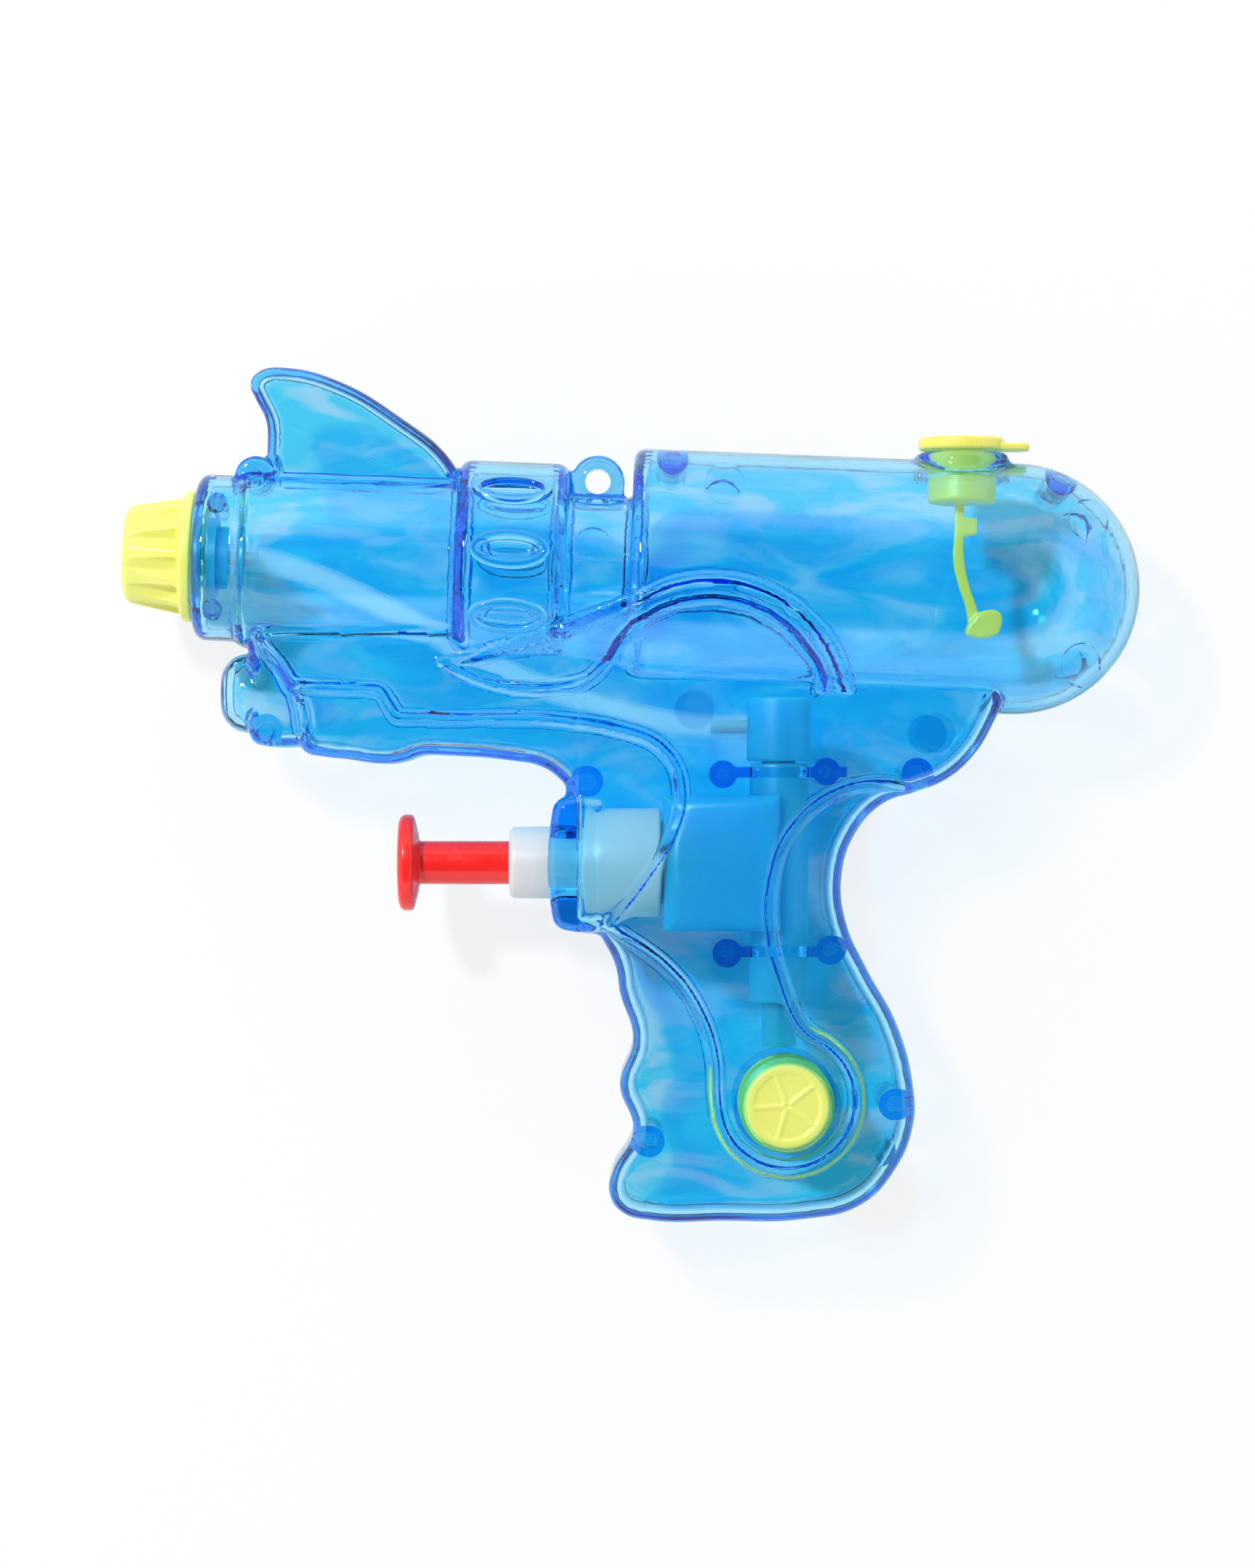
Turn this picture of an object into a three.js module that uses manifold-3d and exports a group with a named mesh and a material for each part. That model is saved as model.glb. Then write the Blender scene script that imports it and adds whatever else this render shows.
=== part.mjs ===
// Toy water squirter: a clear shell in two halves, with a tank, a barrel and a grip, around a piston pump.
// Millimetres. It lies on its right side: x runs from nose to tail, y up the toy, z out of the parting plane.
// While it is built, x = 0 is the tank's front face, y = 0 the pump's axis and z = 0 the parting plane.

import * as THREE from "three";
import { mergeVertices } from "three/addons/utils/BufferGeometryUtils.js";
import Module from "manifold-3d";

const wasm = await Module();
wasm.setup();

// Shell
const WALL = 1.6;
const SEAM = 0.2;
const FIT = 0.3;
const STEP_ROUND = 1.8;

// Barrel and tank, turned on one axis that points a little upwards
const AXIS_PITCH = 2.25;
const AXIS_HEIGHT = 44.2;
const TANK_RADIUS = 19.2;
const TANK_LENGTH = 78.0;
const NECK_RADIUS = 11.6;
const NECK_LENGTH = 9.7;
const SLEEVE_RADIUS = 16.4;
const SLEEVE_LENGTH = 16.8;
const BARREL_RADIUS = 13.6;
const BARREL_LENGTH = 33.6;
const COLLAR_RADIUS = 12.7;
const COLLAR_LENGTH = 6.2;
const OVAL_LENGTH = 13.0;
const OVAL_WIDTH = 5.0;
const OVAL_RISE = 0.7;
const OVAL_TURN = 8;
const OVAL_PITCH = 36;

// Frame, grip, rail and fin, which are flat plates with rounded edges
const FRAME_HALF = 10.2;
const FRAME_ROUND = 3.2;
const GRIP_BASE = -54.1;
const GRIP_FRONT = -0.5;
const FINGER_PITCH = 13.9;
const FINGER_DEPTH = 2.0;
const RAIL_SETBACK = 2.3;
const RAIL_NOSE_HALF = 7.5;
const RAIL_ROUND = 2.6;
const BULB_RADIUS = 5.4;
const BULB_LENGTH = 4.6;
const BULB_HEIGHT = 26.0;
const FIN_HALF = 4.5;
const FIN_ROUND = 2.4;
const LOOP_RADIUS = 4.1;
const LOOP_HOLE_RADIUS = 1.95;
const LOOP_THICKNESS = 4.0;
const LOOP_RISE = 2.2;
const PANEL_RISE = 0.7;
const SWOOSH_RISE = 0.9;
const ARCH_INNER_RADIUS = 17.6;
const ARCH_OUTER_RADIUS = 21.9;

// Pins that join the halves
const BOSS_RADIUS = 2.4;
const PIN_RADIUS = 1.0;
const PIN_LENGTH = 3.0;

// Nozzle, on the barrel's axis
const CAP_LENGTH = 10.6;
const CAP_FRONT_RADIUS = 7.6;
const CAP_REAR_RADIUS = 8.9;
const CAP_FLANGE_RADIUS = 10.0;
const CAP_FLANGE_LENGTH = 1.5;
const CAP_FLUTES = 12;
const FLUTE_RADIUS = 1.3;
const ORIFICE_RADIUS = 0.7;
const SPIGOT_RADIUS = 5.2;
const SPIGOT_LENGTH = 5.0;
const CORE_NECK_RADIUS = 6.2;
const CORE_FLANGE_RADIUS = 10.6;
const CORE_FLANGE_LENGTH = 1.6;
const GASKET_THICKNESS = 0.8;
const BARB_RADIUS = 1.1;
const BARB_LENGTH = 6.0;
const PORT_RADIUS = 0.6;

// Hose
const HOSE_RADIUS = 2.0;
const HOSE_BORE_RADIUS = 1.4;

// Filler plug on top of the tank
const FILLER_X = 50.8;
const FILLER_NECK_RADIUS = 7.3;
const FILLER_RISE = 1.3;
const FILLER_INNER_LIP = 1.0;
const PLUG_RADIUS = 5.2;
const PLUG_LENGTH = 8.0;
const PLUG_FLANGE_RADIUS = 6.6;
const PLUG_FLANGE_THICKNESS = 2.0;
const PLUG_TAB_LENGTH = 3.8;
const PLUG_TAB_WIDTH = 6.0;
const PLUG_TAB_THICKNESS = 1.1;
const TETHER_WIDTH = 1.9;
const TETHER_THICKNESS = 1.4;
const TETHER_LENGTH = 16.8;
const ANCHOR_LENGTH = 5.2;
const ANCHOR_HEIGHT = 3.6;

// Trigger and pump, on the pump's axis
const PAD_RADIUS = 7.35;
const PAD_THICKNESS = 2.7;
const PAD_CLEARANCE = 1.3;
const ROD_RADIUS = 3.3;
const STROKE = 13.0;
const RIM_FRONT = -11.9;
const RIM_LENGTH = 4.2;
const RIM_HALF_HEIGHT = 10.2;
const GLAND_TUBE_RADIUS = 5.5;
const GLAND_TUBE_LENGTH = 6.5;
const GLAND_RADIUS = 8.3;
const GLAND_BODY_LENGTH = 12.2;
const GLAND_SPIGOT_RADIUS = 6.2;
const GLAND_SPIGOT_LENGTH = 3.0;
const CYLINDER_RADIUS = 4.6;
const PISTON_LENGTH = 4.6;
const PISTON_CLEARANCE = 0.4;
const RING_RADIUS = 0.65;
const SEAL_RADIUS = 0.45;
const SPRING_RADIUS = 3.4;
const SPRING_WIRE_RADIUS = 0.35;
const SPRING_TURNS = 8;
const SPRING_LENGTH = 18.2;
const PUMP_HEIGHT = 20.6;
const TOWER_X = 22.8;
const TOWER_RADIUS = 4.5;
const TOWER_TOP = 15.2;
const TOWER_BOTTOM = -21.3;
const VALVE_BORE_RADIUS = 2.9;
const VALVE_PORT_RADIUS = 1.5;
const BALL_RADIUS = 2.3;
const BALL_LIFT = 1.5;
const ELBOW_HEIGHT = 9.8;
const ELBOW_SPIGOT_LENGTH = 3.0;
const ELBOW_BARB_HEIGHT = 20.8;
const INLET_TUBE_LENGTH = 12.0;
const INLET_TUBE_DEPTH = 5.2;

// Spool in the grip, seen through a round window on each side
const SPOOL_X = 23.8;
const SPOOL_Y = -36.7;
const SPOOL_RADIUS = 6.4;
const SPOOL_FLANGE_RADIUS = 8.0;
const SPOOL_CORE_RADIUS = 4.5;
const WINDOW_DEPTH = 4.2;
const WINDOW_WALL = 1.4;
const SPOOL_RECESS = 0.5;
const SPOKES = 5;

// Fineness of round faces
const SHELL_SIDES = 28;
const HOLLOW_SIDES = 20;
const ROUND_SIDES = 20;
const SMALL_SIDES = 10;
const PIN_SIDES = 8;
const DOME_STEPS = 7;
const ARC_STEPS = 2;
const CURVE_STEPS = 2;
const HOSE_SIDES = 8;

// How far one solid runs into the next where they are joined or cut
const LAP = 4.0;

// Stations along the barrel's axis, and other places that follow from the sizes
const PITCH = THREE.MathUtils.degToRad(AXIS_PITCH);
const SLEEVE_REAR = -NECK_LENGTH;
const SLEEVE_FRONT = SLEEVE_REAR - SLEEVE_LENGTH;
const BARREL_FRONT = SLEEVE_FRONT - BARREL_LENGTH;
const COLLAR_FRONT = BARREL_FRONT - COLLAR_LENGTH;
const RAIL_FRONT = BARREL_FRONT + RAIL_SETBACK;
const AXIS_PLACE = new THREE.Matrix4().makeRotationZ(-PITCH).setPosition(0, AXIS_HEIGHT, 0);
const axisY = (x) => AXIS_HEIGHT - x * Math.tan(PITCH);
const FRAME_TOP = AXIS_HEIGHT - TANK_RADIUS / 2;
const RAIL_TOP = axisY(BARREL_FRONT) - BARREL_RADIUS + 3 * WALL;
const RIM_REAR = RIM_FRONT + RIM_LENGTH;
const GLAND_FRONT = RIM_FRONT - GLAND_TUBE_LENGTH;
const GLAND_BODY_FRONT = RIM_REAR + FIT;
const GLAND_BODY_REAR = GLAND_BODY_FRONT + GLAND_BODY_LENGTH;
const CYLINDER_FRONT = GLAND_BODY_FRONT + WALL;
const PISTON_FRONT = CYLINDER_FRONT + PISTON_CLEARANCE;
const PISTON_REAR = PISTON_FRONT + PISTON_LENGTH;
const PISTON_MIDDLE = (PISTON_FRONT + PISTON_REAR) / 2;
const SPRING_FRONT = PISTON_REAR + FIT;
const CYLINDER_REAR = SPRING_FRONT + SPRING_LENGTH + FIT;
const PUMP_FRONT = GLAND_BODY_REAR + FIT;
const PAD_REAR = GLAND_FRONT - STROKE - PAD_CLEARANCE;
const FILLER_TOP = axisY(FILLER_X) + TANK_RADIUS + FILLER_RISE;
const FILLER_BOTTOM = axisY(FILLER_X) + TANK_RADIUS - WALL - FILLER_INNER_LIP;
const TETHER_TOP = FILLER_TOP + FIT - PLUG_LENGTH;
const CAP_REAR = COLLAR_FRONT - FIT;
const CAP_FRONT = CAP_REAR - CAP_LENGTH;
const CORE_FLANGE_FRONT = COLLAR_FRONT + WALL + FIT;
const CORE_FLANGE_REAR = CORE_FLANGE_FRONT + CORE_FLANGE_LENGTH;
const SPIGOT_FRONT = CAP_REAR - SPIGOT_LENGTH;

// Fills the slits that triangulating a flat face can leave along its edge.
function closeSlits(triangles) {
  const edges = new Set();
  for (let i = 0; i < triangles.length; i += 3) {
    const [a, b, c] = triangles.slice(i, i + 3);
    edges.add(`${a} ${b}`).add(`${b} ${c}`).add(`${c} ${a}`);
  }
  const missing = new Map();
  for (const edge of edges) {
    const [from, to] = edge.split(" ");
    if (!edges.has(`${to} ${from}`)) missing.set(to, from);
  }
  while (missing.size > 0) {
    const loop = [missing.keys().next().value];
    while (missing.has(loop.at(-1))) {
      const corner = loop.at(-1);
      loop.push(missing.get(corner));
      missing.delete(corner);
    }
    for (let i = 1; i + 2 < loop.length; i += 1) {
      triangles.push(Number(loop[0]), Number(loop[i]), Number(loop[i + 1]));
    }
  }
}

// Turns a closed geometry into a solid, with its shared corners merged and flat slivers dropped.
function solid(geometry) {
  const bare = new THREE.BufferGeometry();
  bare.setAttribute("position", geometry.getAttribute("position"));
  bare.setIndex(geometry.index);
  const merged = mergeVertices(bare);
  const corners = merged.index.array;
  const triangles = [];
  for (let i = 0; i < corners.length; i += 3) {
    const [a, b, c] = corners.subarray(i, i + 3);
    if (a !== b && b !== c && c !== a) triangles.push(a, b, c);
  }
  closeSlits(triangles);
  return new wasm.Manifold(new wasm.Mesh({
    numProp: 3,
    vertProperties: new Float32Array(merged.getAttribute("position").array),
    triVerts: new Uint32Array(triangles),
  }));
}

const join = (solids) => solids.reduce((all, next) => all.add(next));
const larger = (one, other) => (other.volume() > one.volume() ? other : one);
const largest = (body) => body.decompose().reduce(larger);
const cut = (body, tools) => body.subtract(join(tools));

// Named mesh of a solid or of a geometry that is closed as it is.
function piece(name, shape, look) {
  let geometry = shape;
  if (!shape.isBufferGeometry) {
    const data = shape.getMesh();
    geometry = new THREE.BufferGeometry();
    geometry.setAttribute("position", new THREE.BufferAttribute(data.vertProperties, 3));
    geometry.setIndex(new THREE.BufferAttribute(data.triVerts, 1));
    geometry.computeVertexNormals();
  }
  const mesh = new THREE.Mesh(geometry, look);
  mesh.name = name;
  return mesh;
}

const point = (x, y) => new THREE.Vector2(x, y);

// Points of a quarter-round edge from one angle to another, about a centre in the profile's plane.
function arc(x, y, radius, from, to, steps = ARC_STEPS) {
  const points = [];
  for (let i = 0; i <= steps; i += 1) {
    const angle = THREE.MathUtils.degToRad(from + (to - from) * i / steps);
    points.push(point(x + radius * Math.cos(angle), y + radius * Math.sin(angle)));
  }
  return points;
}

// Solid turned about the x axis from a profile of (radius, x) points that starts and ends on the axis.
function turned(profile, sides = ROUND_SIDES) {
  const half = Math.PI / sides;
  return new THREE.LatheGeometry(profile, sides, half).rotateZ(-Math.PI / 2);
}

// Cylinder along x with rounded ends.
function rod(from, to, radius, frontRound = 0, rearRound = 0, sides = ROUND_SIDES) {
  const rearSteps = rearRound === radius ? DOME_STEPS : ARC_STEPS;
  const front = frontRound > 0
    ? arc(radius - frontRound, from + frontRound, frontRound, -90, 0)
    : [point(radius, from)];
  const rear = rearRound > 0
    ? arc(radius - rearRound, to - rearRound, rearRound, 0, 90, rearSteps)
    : [point(radius, to)];
  return turned([point(0, from), ...front, ...rear, point(0, to)], sides);
}

// The same cylinder, or ring, along y or z.
const upright = (x, y, from, to, radius, sides = SMALL_SIDES) =>
  rod(from, to, radius, 0, 0, sides).rotateZ(Math.PI / 2).translate(x, y, 0);
const crosswise = (x, y, from, to, radius, sides = SMALL_SIDES) =>
  rod(from, to, radius, 0, 0, sides).rotateY(-Math.PI / 2).translate(x, y, 0);

// Plate with rounded edges, cut from an outline and set about the parting plane.
function plate(outline, half, round, inset = 0) {
  const edge = Math.max(round - inset, WALL / 4);
  const depth = 2 * (half - inset - edge);
  return new THREE.ExtrudeGeometry(outline, {
    depth,
    bevelThickness: edge,
    bevelSize: edge,
    bevelOffset: -inset - edge,
    bevelSegments: inset > 0 ? 1 : ARC_STEPS,
    curveSegments: CURVE_STEPS,
  }).translate(0, 0, -depth / 2);
}

// Straight-sided plate of an outline, set about the parting plane.
function slab(outline, depth) {
  const options = { depth, bevelEnabled: false, curveSegments: 2 * CURVE_STEPS };
  return new THREE.ExtrudeGeometry(outline, options).translate(0, 0, -depth / 2);
}

const curve = (shape, points) => shape.splineThru(points.map(([x, y]) => point(x, y)));

// Outline of the frame, grip and tail hump, with finger waves down the front of the grip.
function frameOutline() {
  const shape = new THREE.Shape();
  shape.moveTo(RIM_REAR - LAP / 2, FRAME_TOP);
  shape.lineTo(RIM_REAR - LAP / 2, -RIM_HALF_HEIGHT);
  shape.lineTo(GRIP_FRONT - 4, -RIM_HALF_HEIGHT - 0.5);
  const firstValley = -2 * FINGER_PITCH + 1.2;
  for (let step = -4; step <= 13; step += 1) {
    const wave = (FINGER_DEPTH / 2) * Math.cos(step * Math.PI / 4);
    const flare = Math.max(0, (step - 9) / 2);
    shape.lineTo(GRIP_FRONT + wave - flare, firstValley - step * FINGER_PITCH / 8);
  }
  curve(shape, [[GRIP_FRONT - 1.2, GRIP_BASE + 2.6], [3, GRIP_BASE]]);
  shape.lineTo(26, GRIP_BASE);
  curve(shape, [[35, GRIP_BASE + 2.3], [40.3, -46.3], [43, -39.5], [43, -34], [40.5, -24.4]]);
  curve(shape, [[36, -16.1], [32.8, -9], [32.1, -2], [34.2, 4.6], [38.6, 9.2]]);
  curve(shape, [[43.5, 10.9], [48, 12.8], [52, 16.3], [54.8, 20.8], [56.4, 25]]);
  shape.lineTo(56.4, FRAME_TOP);
  return shape;
}

// Outline of the rail under the barrel. Its upper edge is hidden in the barrel.
function railOutline() {
  const shape = new THREE.Shape();
  shape.moveTo(RAIL_FRONT, RAIL_TOP);
  shape.lineTo(RAIL_FRONT, 19.4);
  curve(shape, [[-55.8, 18.0], [-52.2, 17.6], [-49.2, 16.6], [-43, 15.8], [-36, 15.1]]);
  curve(shape, [[-32.6, 16.0], [-29, 16.3], [-18, 15.6], [-13.2, 14.6], [-10.4, 12.6]]);
  shape.lineTo(LAP, RIM_HALF_HEIGHT);
  shape.lineTo(LAP, RAIL_TOP);
  return shape;
}

// Outline of the swept-back fin. Its foot is hidden in the barrel.
function finOutline() {
  const shape = new THREE.Shape();
  const foot = AXIS_HEIGHT + BARREL_RADIUS - LAP;
  shape.moveTo(-56.2, foot);
  curve(shape, [[-55.4, AXIS_HEIGHT + 19.6], [-55.2, AXIS_HEIGHT + 23], [-57.2, AXIS_HEIGHT + 26.8]]);
  curve(shape, [[-57.9, AXIS_HEIGHT + 28.9], [-56.4, AXIS_HEIGHT + 30.8], [-52.4, AXIS_HEIGHT + 31.4]]);
  curve(shape, [[-44, AXIS_HEIGHT + 29.2], [-35.5, AXIS_HEIGHT + 24.2], [-27.2, AXIS_HEIGHT + 17.4]]);
  shape.lineTo(-24, foot);
  return shape;
}

// Raised panel: the middle of the frame, narrowing down the grip to a ring around the spool.
function panelOutline() {
  const shape = new THREE.Shape();
  const ring = SPOOL_FLANGE_RADIUS + 3.4;
  shape.moveTo(-50.2, 26.4);
  shape.lineTo(-38.2, 25.7);
  shape.lineTo(-35.7, 21.6);
  shape.lineTo(-0.3, 19.2);
  curve(shape, [[5.1, 16.2], [7.1, 11.4], [6.3, 6], [2.1, -1.2], [-4.5, -9.6]]);
  curve(shape, [[5.7, -16.8], [9.9, -22.8], [12, -29], [SPOOL_X - ring, SPOOL_Y + 1]]);
  shape.absarc(SPOOL_X, SPOOL_Y + 0.9, ring, Math.PI, 0.3 * Math.PI + 2 * Math.PI, false);
  curve(shape, [[23.7, -18], [21.9, -10.8], [22.2, -2.4], [25, 4.8], [34.5, 13.2], [43, 11]]);
  shape.lineTo(60, 11);
  shape.lineTo(60, FRAME_TOP);
  shape.lineTo(-50.2, FRAME_TOP);
  return shape;
}

// Raised swoosh: an arch over the frame that runs out forwards to a point.
function swooshOutline() {
  const shape = new THREE.Shape();
  const [x, y] = [12, 21.5];
  shape.moveTo(-29.4, 30.6);
  curve(shape, [[-24.3, 31.5], [-18.3, 33.4], [-10.5, 36], [-0.3, 40.7]]);
  shape.absarc(x, y, ARCH_OUTER_RADIUS, 0.67 * Math.PI, 0.08 * Math.PI, true);
  shape.absarc(x, y, ARCH_INNER_RADIUS, 0.1 * Math.PI, 0.88 * Math.PI, false);
  curve(shape, [[-9.9, 27.6], [-19.5, 26.4], [-25.5, 28.4], [-29.4, 30.6]]);
  return shape;
}

// The turned sections of the barrel and tank, each running into its larger neighbour.
function barrelForm(inset, rise = 0) {
  const grow = rise - inset;
  const round = Math.max(STEP_ROUND - inset, WALL / 4);
  const sides = inset > 0 ? HOLLOW_SIDES : SHELL_SIDES;
  const sections = [
    rod(COLLAR_FRONT + inset, BARREL_FRONT + LAP, COLLAR_RADIUS + grow, round, 0, sides),
    rod(BARREL_FRONT + inset, SLEEVE_FRONT + LAP, BARREL_RADIUS + grow, round, 0, sides),
    rod(SLEEVE_FRONT + inset, SLEEVE_REAR - inset, SLEEVE_RADIUS + grow, round, round, sides),
    rod(SLEEVE_REAR - LAP, LAP, NECK_RADIUS + grow, 0, 0, sides),
    rod(inset, TANK_LENGTH - inset, TANK_RADIUS + grow, round, TANK_RADIUS + grow, sides),
  ];
  return join(sections.map((section) => solid(section.applyMatrix4(AXIS_PLACE))));
}

// The rail's plate, which thickens evenly from its nose to the frame.
function railForm(inset, rise = 0) {
  const geometry = plate(railOutline(), FRAME_HALF + rise, RAIL_ROUND, inset);
  const places = geometry.getAttribute("position");
  for (let i = 0; i < places.count; i += 1) {
    const along = (places.getX(i) - BARREL_FRONT) / (LAP - BARREL_FRONT);
    const half = THREE.MathUtils.lerp(RAIL_NOSE_HALF, FRAME_HALF, along) + rise - inset;
    places.setZ(i, places.getZ(i) * half / (FRAME_HALF + rise - inset));
  }
  return solid(geometry);
}

const frameForm = (inset, rise = 0) => solid(plate(frameOutline(), FRAME_HALF + rise, FRAME_ROUND, inset));

const plateForms = (inset, rise) => [railForm(inset, rise), frameForm(inset, rise)];

// A raised patch of the surface, as deep as the toy.
const relief = (outline, forms) => solid(slab(outline, 4 * TANK_RADIUS)).intersect(join(forms));

// Round nose under the barrel, in front of the rail.
function bulbForm(inset) {
  const from = RAIL_FRONT - BULB_LENGTH;
  const round = BULB_RADIUS - inset - WALL;
  const bulb = rod(from + inset, from + 2 * BULB_LENGTH, BULB_RADIUS - inset, round);
  return solid(bulb.translate(0, BULB_HEIGHT, 0));
}

// Rim that the pump's gland comes out of.
function rimForm() {
  const shape = new THREE.Shape();
  const half = RIM_HALF_HEIGHT;
  shape.moveTo(RIM_REAR, half);
  curve(shape, [
    [RIM_FRONT + 0.8, half - 1],
    [RIM_FRONT, half - 4],
    [RIM_FRONT, 4 - half],
    [RIM_FRONT + 0.8, 1 - half],
  ]);
  shape.lineTo(RIM_REAR, -half);
  return solid(plate(shape, FRAME_HALF, STEP_ROUND / 2));
}

// Flat ears of the lanyard loop, on the neck.
function loopForm() {
  const x = -NECK_LENGTH / 2;
  const y = axisY(x) + NECK_RADIUS + LOOP_RISE;
  const shape = new THREE.Shape();
  shape.moveTo(x + LOOP_RADIUS, y - LAP - 1);
  shape.absarc(x, y, LOOP_RADIUS, 0, Math.PI, false);
  shape.lineTo(x - LOOP_RADIUS, y - LAP - 1);
  const hole = new THREE.Path();
  hole.absarc(x, y, LOOP_HOLE_RADIUS, 0, 2 * Math.PI, false);
  shape.holes.push(hole);
  return solid(slab(shape, LOOP_THICKNESS));
}

// Raised ovals around the sleeve, three on each side.
function ovals() {
  const all = [];
  for (const side of [1, -1]) {
    for (let i = -1; i <= 1; i += 1) {
      const turn = THREE.MathUtils.degToRad(OVAL_TURN + OVAL_PITCH * i);
      const oval = new THREE.SphereGeometry(1, SMALL_SIDES, SMALL_SIDES / 2);
      oval.scale(OVAL_LENGTH / 2, OVAL_WIDTH / 2, 2 * OVAL_RISE);
      oval.translate((SLEEVE_FRONT + SLEEVE_REAR) / 2, 0, SLEEVE_RADIUS - OVAL_RISE);
      oval.rotateX(-turn);
      if (side < 0) oval.rotateX(Math.PI).rotateX(2 * turn);
      all.push(solid(oval.applyMatrix4(AXIS_PLACE)));
    }
  }
  return join(all);
}

// Everything the shell encloses, before it is hollowed.
const outerForm = join([
  barrelForm(0),
  ...plateForms(0),
  relief(panelOutline(), plateForms(0, PANEL_RISE)),
  relief(swooshOutline(), [barrelForm(0, SWOOSH_RISE), ...plateForms(0, PANEL_RISE + SWOOSH_RISE)]),
  solid(plate(finOutline(), FIN_HALF, FIN_ROUND)),
  bulbForm(0),
  rimForm(),
  ovals(),
  solid(upright(FILLER_X, 0, axisY(FILLER_X), FILLER_TOP, FILLER_NECK_RADIUS, ROUND_SIDES)),
]);

// The hollow inside the wall.
const hollow = join([
  barrelForm(WALL),
  ...plateForms(WALL),
  solid(plate(finOutline(), FIN_HALF, FIN_ROUND, WALL)),
  bulbForm(WALL),
]);

// The middle of the wall, where the fittings inside the shell end.
const wallMiddle = join([
  barrelForm(WALL / 2),
  ...plateForms(WALL / 2),
  solid(plate(finOutline(), FIN_HALF, FIN_ROUND, WALL / 2)),
  bulbForm(WALL / 2),
]);

// The ways out of the shell for the nozzle, the filler, the gland and the spool.
const waysOut = [
  solid(rod(COLLAR_FRONT - LAP, COLLAR_FRONT + LAP, CORE_NECK_RADIUS + FIT).applyMatrix4(AXIS_PLACE)),
  solid(upright(FILLER_X, 0, axisY(FILLER_X), FILLER_TOP + LAP, PLUG_RADIUS + FIT, ROUND_SIDES)),
  solid(rod(RIM_FRONT - LAP, RIM_REAR + LAP, GLAND_TUBE_RADIUS + FIT)),
  solid(rod(RIM_REAR, GLAND_BODY_REAR, GLAND_RADIUS + FIT)),
  solid(crosswise(SPOOL_X, SPOOL_Y, -TANK_RADIUS, TANK_RADIUS, SPOOL_RADIUS + FIT, ROUND_SIDES)),
];

// Places of the bosses that pin the halves together, and their radii.
const BOSSES = [
  [-57.4, AXIS_HEIGHT + 15.0, BOSS_RADIUS],
  [6.5, AXIS_HEIGHT + 16.2, BOSS_RADIUS],
  [65.1, AXIS_HEIGHT + 13.1, BOSS_RADIUS],
  [-55.2, 20.3, BOSS_RADIUS],
  [-6.4, RIM_HALF_HEIGHT + 2.2, BOSS_RADIUS],
  [43.4, 13.6, BOSS_RADIUS],
  [40.0, -36.4, BOSS_RADIUS],
  [2.9, -42.0, BOSS_RADIUS],
  [TOWER_X - TOWER_RADIUS - 3.6, -PUMP_HEIGHT / 2 - 3.2, BOSS_RADIUS - 0.4],
  [TOWER_X + TOWER_RADIUS + 3.0, -PUMP_HEIGHT / 2 - 2.8, BOSS_RADIUS - 0.4],
  [TOWER_X - TOWER_RADIUS - 4.2, PUMP_HEIGHT / 2 + 3.2, BOSS_RADIUS - 0.6],
  [TOWER_X + TOWER_RADIUS + 2.4, PUMP_HEIGHT / 2 + 3.6, BOSS_RADIUS - 0.6],
];

// Ribs that hold the tower, as (x from, x to, y).
const RIBS = [
  [TOWER_X - TOWER_RADIUS - 3.6, TOWER_X + TOWER_RADIUS + 3.0, -PUMP_HEIGHT / 2 - 3.0],
  [TOWER_X - TOWER_RADIUS - 4.2, TOWER_X + TOWER_RADIUS + 5.5, PUMP_HEIGHT / 2 + 3.5],
];

// One half of the shell: side 1 has the sockets and side -1 the pins.
function shellHalf(side) {
  const low = SEAM / 2;
  const high = 2 * TANK_RADIUS;
  const span = side > 0 ? [low, high] : [-high, -low];
  const bosses = BOSSES.map(([x, y, radius]) => solid(crosswise(x, y, ...span, radius, PIN_SIDES)));
  const ribs = RIBS.map(([from, to, y]) => {
    const box = new THREE.BoxGeometry(to - from, WALL, high - low);
    return solid(box.translate((from + to) / 2, y, side * (low + high) / 2));
  });
  const window = crosswise(
    SPOOL_X, SPOOL_Y, ...(side > 0 ? [FRAME_HALF - WINDOW_DEPTH, high] : [-high, WINDOW_DEPTH - FRAME_HALF]),
    SPOOL_RADIUS + FIT + WINDOW_WALL, ROUND_SIDES,
  );
  const fillerNeck = solid(upright(FILLER_X, 0, FILLER_BOTTOM, FILLER_TOP, FILLER_NECK_RADIUS, ROUND_SIDES));
  const inner = join([...bosses, ...ribs, solid(window), fillerNeck]).intersect(wallMiddle);
  const towerRoom = upright(TOWER_X, 0, TOWER_BOTTOM - LAP, TOWER_TOP + LAP, TOWER_RADIUS + FIT, ROUND_SIDES);
  const walls = join([outerForm.subtract(hollow), inner.subtract(solid(towerRoom)), loopForm()]);
  const room = new THREE.BoxGeometry(8 * TANK_RADIUS + TANK_LENGTH, 4 * TANK_LENGTH, high - low);
  const half = cut(walls, waysOut).intersect(solid(room.translate(0, 0, side * (low + high) / 2)));
  const pins = (from, to, radius) =>
    BOSSES.map(([x, y]) => solid(crosswise(x, y, from, to, radius, PIN_SIDES)));
  if (side > 0) return largest(cut(half, pins(-low, PIN_LENGTH + FIT, PIN_RADIUS + FIT)));
  return largest(join([half, ...pins(-1, PIN_LENGTH, PIN_RADIUS)]));
}

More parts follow.
